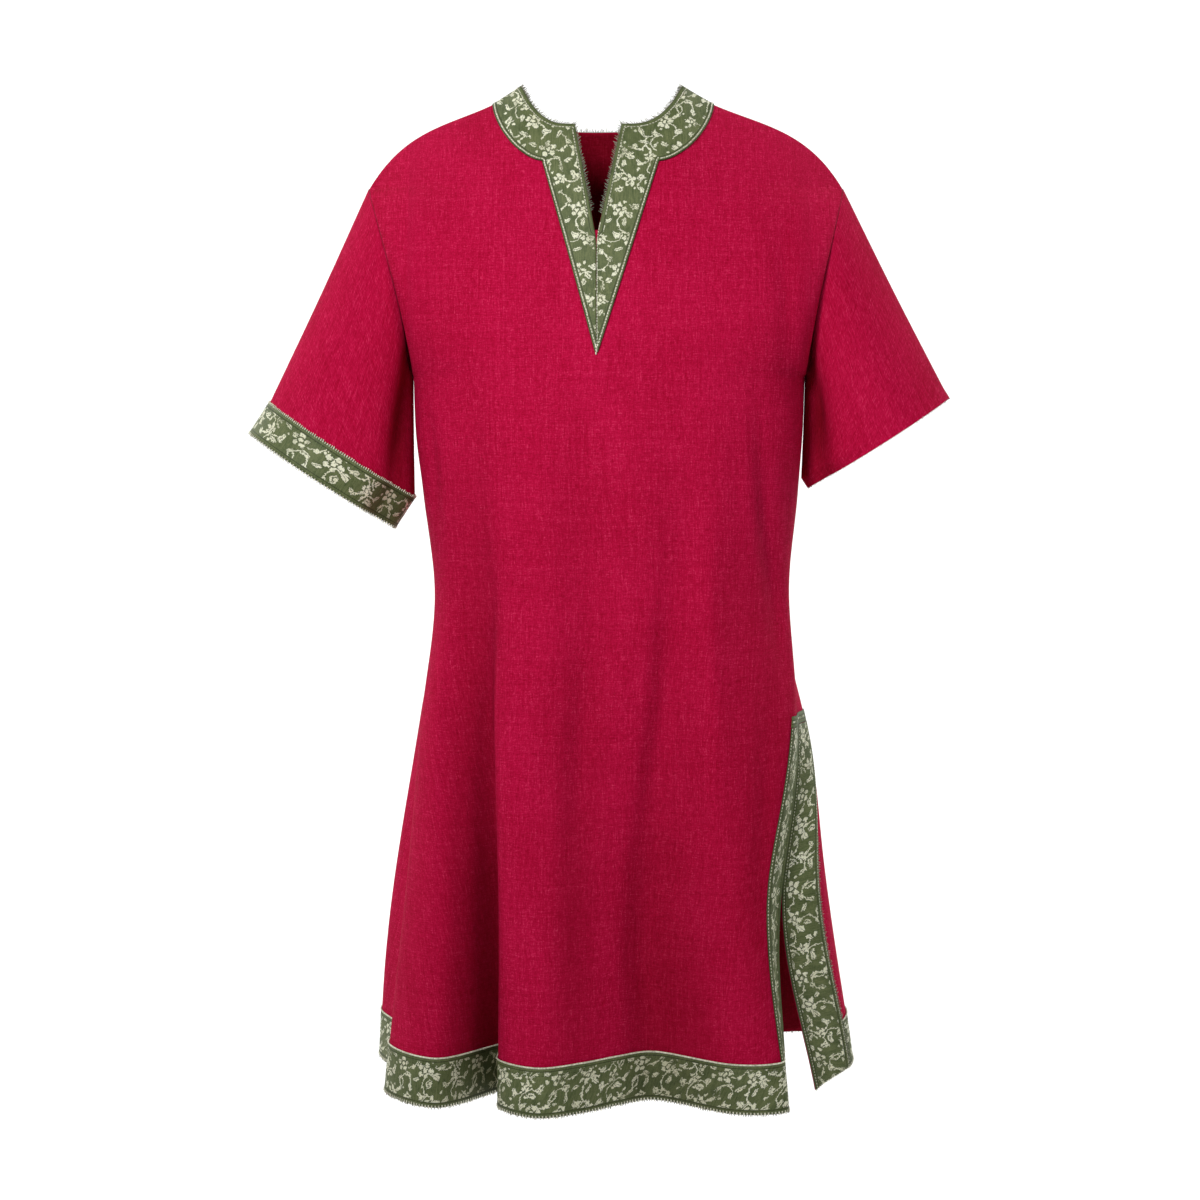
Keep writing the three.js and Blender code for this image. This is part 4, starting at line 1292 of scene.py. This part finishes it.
pale_thread = thread_material("cream thread", (0.42, 0.42, 0.30), (0.95, 0.93, 0.76))
grey_thread = thread_material("frayed thread", (0.035, 0.045, 0.025), (0.42, 0.42, 0.32))
green_thread = thread_material("green thread", (0.02, 0.03, 0.012), (0.09, 0.12, 0.04))
red_thread = thread_material("crimson thread", (0.16, 0.003, 0.015), (0.36, 0.012, 0.045))
FACE = TRIM_LIFT + TRIM
NECK_FACE = NECK_LIFT + TRIM

# How threads stand on an edge: whether they lie along it, and how even they are.
EVEN = {"Tip": 0.8, "Spread": 0.35, "Astray": 0.12}
RUNNING = (True, EVEN)
OVERCAST = (False, EVEN)
FRAY = (False, {"Tip": 0.4, "Spread": 0.6, "Astray": 0.35})


def sew(name, piece, stitch, side, inset, lift, spacing, length, radius, thread, seed, span=(0, 1)):
    """A row of threads along one side of a piece; inset, lift and sizes in millimetres."""
    lies_along, evenness = stitch
    line = border(piece, side, inset, lift, *span)
    if lies_along:
        line = along_line(line)
    sizes = {"Spacing": spacing, "Length": length, "Radius": radius}
    add_threads(name, piece, line, STRANDS, thread, sizes, Seed=seed, **evenness)


def pipe(name, piece, line, radius, thread):
    add_threads(name, piece, line, CORD, thread, {"Radius": radius})


# The neck is open above this share of a front band's length, and joined below it.
OPEN_FROM = 0.33
for name, span in (("neck_band_front_right", (0, 1 - OPEN_FROM)),
                   ("neck_band_front_left", (OPEN_FROM, 1)), ("neck_band_back", (0, 1))):
    seed = len(name)
    sew(name + "_fray", name, FRAY, "top", 0.3, NECK_LIFT + 0.45, 1.9, 5.4, 0.55, grey_thread,
        seed, span)
    sew(name + "_stitches", name, RUNNING, "top", 4.4, NECK_FACE, 3.4, 2.7, 0.55, pale_thread,
        seed, span)
    sew(name + "_edge_stitches", name, RUNNING, "bottom", 2.3, NECK_FACE, 3.0, 2.9, 0.7,
        pale_thread, seed + 1)
    pipe(name + "_piping", name, border(name, "bottom", 0.4, NECK_FACE - 0.2), 0.5, green_thread)
sew("neck_seam_stitches", "neck_band_front_left", RUNNING, "top", 0.5, NECK_FACE, 2.9, 2.6, 0.5,
    pale_thread, 61, (0.02, OPEN_FROM - 0.03))

for name in ("hem_band_front", "hem_band_back"):
    seed = len(name)
    pipe(name + "_piping", name, border(name, "top", 0.6, FACE), 0.85, pale_thread)
    sew(name + "_stitches", name, RUNNING, "top", 8.6, FACE - 0.1, 3.4, 2.7, 0.4, green_thread, seed)
    sew(name + "_overcast", name, OVERCAST, "bottom", 2.2, FACE, 3.6, 3.6, 0.8, pale_thread, seed + 1)
    sew(name + "_fray", name, FRAY, "bottom", 0.6, TRIM_LIFT + 0.5, 1.7, 3.2, 0.6, grey_thread,
        seed + 2)

CUFF = "cuff_band_right"
sew("cuff_overcast", CUFF, OVERCAST, "top", 1.4, FACE, 2.6, 3.0, 0.62, pale_thread, 31)
sew("cuff_stitches", CUFF, RUNNING, "top", 5.0, FACE - 0.1, 3.2, 2.6, 0.4, green_thread, 32)
sew("cuff_whip", CUFF, OVERCAST, "bottom", 1.2, FACE, 3.8, 3.4, 0.7, pale_thread, 33)
sew("cuff_fray", CUFF, FRAY, "bottom", 0.3, TRIM_LIFT, 1.6, 3.0, 0.42, grey_thread, 34)

for name in ("sleeve_right", "sleeve_left"):
    ring = [np.concatenate([part, part[:1]]) for part in border(name, "top", 0.0, -0.9)]
    pipe(name + "_seam", name, ring, 0.9, red_thread)
sew("sleeve_left_fray", "sleeve_left", FRAY, "bottom", 0.2, -0.5, 1.5, 2.2, 0.34, red_thread, 41)

AHEAD, BEHIND = "slit_band_front", "slit_band_back"
sew("slit_front_stitches", AHEAD, RUNNING, "left", 1.6, FACE, 3.4, 1.9, 0.5, pale_thread, 51)
sew("slit_front_fray", AHEAD, FRAY, "right", 0.3, TRIM_LIFT, 1.9, 2.2, 0.4, grey_thread, 52)
sew("slit_back_stitches", BEHIND, RUNNING, "left", 2.4, FACE, 3.4, 1.9, 0.5, pale_thread, 53)
sew("slit_back_line", BEHIND, RUNNING, "right", 1.6, FACE, 3.0, 2.5, 0.4, pale_thread, 54)
sew("slit_back_fray", BEHIND, FRAY, "right", 0.3, FACE - 0.3, 1.7, 3.4, 0.5, grey_thread, 55,
    (0.3, 1))
sew("slit_back_whip", BEHIND, OVERCAST, "bottom", 1.2, FACE, 2.4, 2.8, 0.46, pale_thread, 56)


# ---- What each sheet was cut to ----
# Piece: flat width and length of the cut, its flat area, how it is held and what it lies on.
CUTS = {
    "body_front": (0.69, 1.08, 0.549, "draped", ["body_back"]),
    "body_back": (0.85, 1.06, 0.585, "draped", ["body_front"]),
    "hem_band_front": (0.68, 0.051, None, "laid", ["body_front"]),
    "hem_band_back": (0.80, 0.052, None, "laid", ["body_back"]),
    "slit_band_front": (0.042, 0.342, None, "laid", ["body_front"]),
    "slit_band_back": (0.042, 0.40, None, "laid", ["body_back"]),
    "slit_bar": (0.079, 0.0125, None, "laid", ["body_front", "body_back"]),
    "neck_band_front_right": (0.12, 0.27, 0.0104, "laid", ["body_front"]),
    "neck_band_front_left": (0.125, 0.27, 0.0119, "laid", ["body_front"]),
    "neck_band_back": (0.24, 0.09, 0.0118, "laid", ["body_back"]),
    "sleeve_right": (0.47, 0.282, 0.0879, "hung", ["body_front", "body_back"]),
    "sleeve_left": (0.47, 0.243, 0.0687, "hung", ["body_front", "body_back"]),
    "cuff_band_right": (0.465, 0.039, None, "laid", ["sleeve_right"]),
}
for name, (width, length, area, held, under) in CUTS.items():
    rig.sheet(PIECES[name]["thing"], flat=(width, length), held=held, rests_on=under, area=area,
             with_pieces=PIECES[name]["threads"])


# ---- Stage, light and camera ----
FLOOR = -1.42
BEND_FROM = 2.0
BEND = 1.2


def add_stage():
    """A floor that bends up into the backdrop."""
    mesh = bpy.data.meshes.new("floor and backdrop")
    run = [(-6.0, FLOOR), (BEND_FROM, FLOOR)]
    run += [(BEND_FROM + math.sin(a) * BEND, FLOOR + BEND - math.cos(a) * BEND)
            for a in np.linspace(0, math.pi / 2, 16)[1:]]
    run += [(BEND_FROM + BEND, 5.0)]
    points = [(x, y, z) for y, z in run for x in (-7.0, 7.0)]
    faces = [(2 * i, 2 * i + 1, 2 * i + 3, 2 * i + 2) for i in range(len(run) - 1)]
    mesh.from_pydata(points, [], faces)
    mesh.polygons.foreach_set("use_smooth", [True] * len(faces))
    paper, _, shader = new_material("pale paper", 0.95, 0.3)
    shader.inputs["Base Color"].default_value = (0.9, 0.9, 0.9, 1)
    mesh.materials.append(paper)
    floor = add_object("floor and backdrop", mesh)
    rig.stage(floor)


add_stage()


def add_light(name, place, aim, size, energy, spread=180):
    data = bpy.data.lights.new(name, "AREA")
    data.spread = math.radians(spread)
    data.shape = "DISK"
    data.size = size
    data.energy = energy
    lamp = add_object(name, data)
    lamp.location = place
    lamp.rotation_euler = (Vector(aim) - Vector(place)).to_track_quat("-Z", "Y").to_euler()


add_light("key", (-0.9, -1.9, 0.55), (0, 0, -0.38), 0.6, 8.7, 88)
add_light("fill", (1.5, -2.2, 0.9), (0.25, 0, -0.12), 1.0, 3.3, 70)
add_light("backdrop left", (-2.4, 1.3, 1.4), (0, 3.2, -0.6), 1.8, 90)
add_light("backdrop right", (2.4, 1.3, 1.4), (0, 3.2, -0.6), 1.8, 90)

world = bpy.data.worlds.new("studio")
bpy.context.scene.world = world
world.use_nodes = True
world.node_tree.nodes["Background"].inputs["Color"].default_value = (1, 1, 1, 1)
world.node_tree.nodes["Background"].inputs["Strength"].default_value = 0.1
bpy.context.scene.view_settings.view_transform = "Standard"

CAMERA_PLACE = (-0.00623, -2.6, -0.36575)
CAMERA_DIP = math.atan(160 / 2476.19)
camera_data = bpy.data.cameras.new("camera")
camera_data.sensor_width = 36
camera_data.lens = 74.2857
camera = add_object("camera", camera_data)
camera.location = CAMERA_PLACE
camera.rotation_euler = (math.pi / 2 - CAMERA_DIP, 0, 0)
bpy.context.scene.camera = camera

end_bounds = [list(map(float, corner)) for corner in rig.bounds()]
with open("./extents.json", "w") as file:
    json.dump({"cad": start_bounds, "dressed": end_bounds}, file)
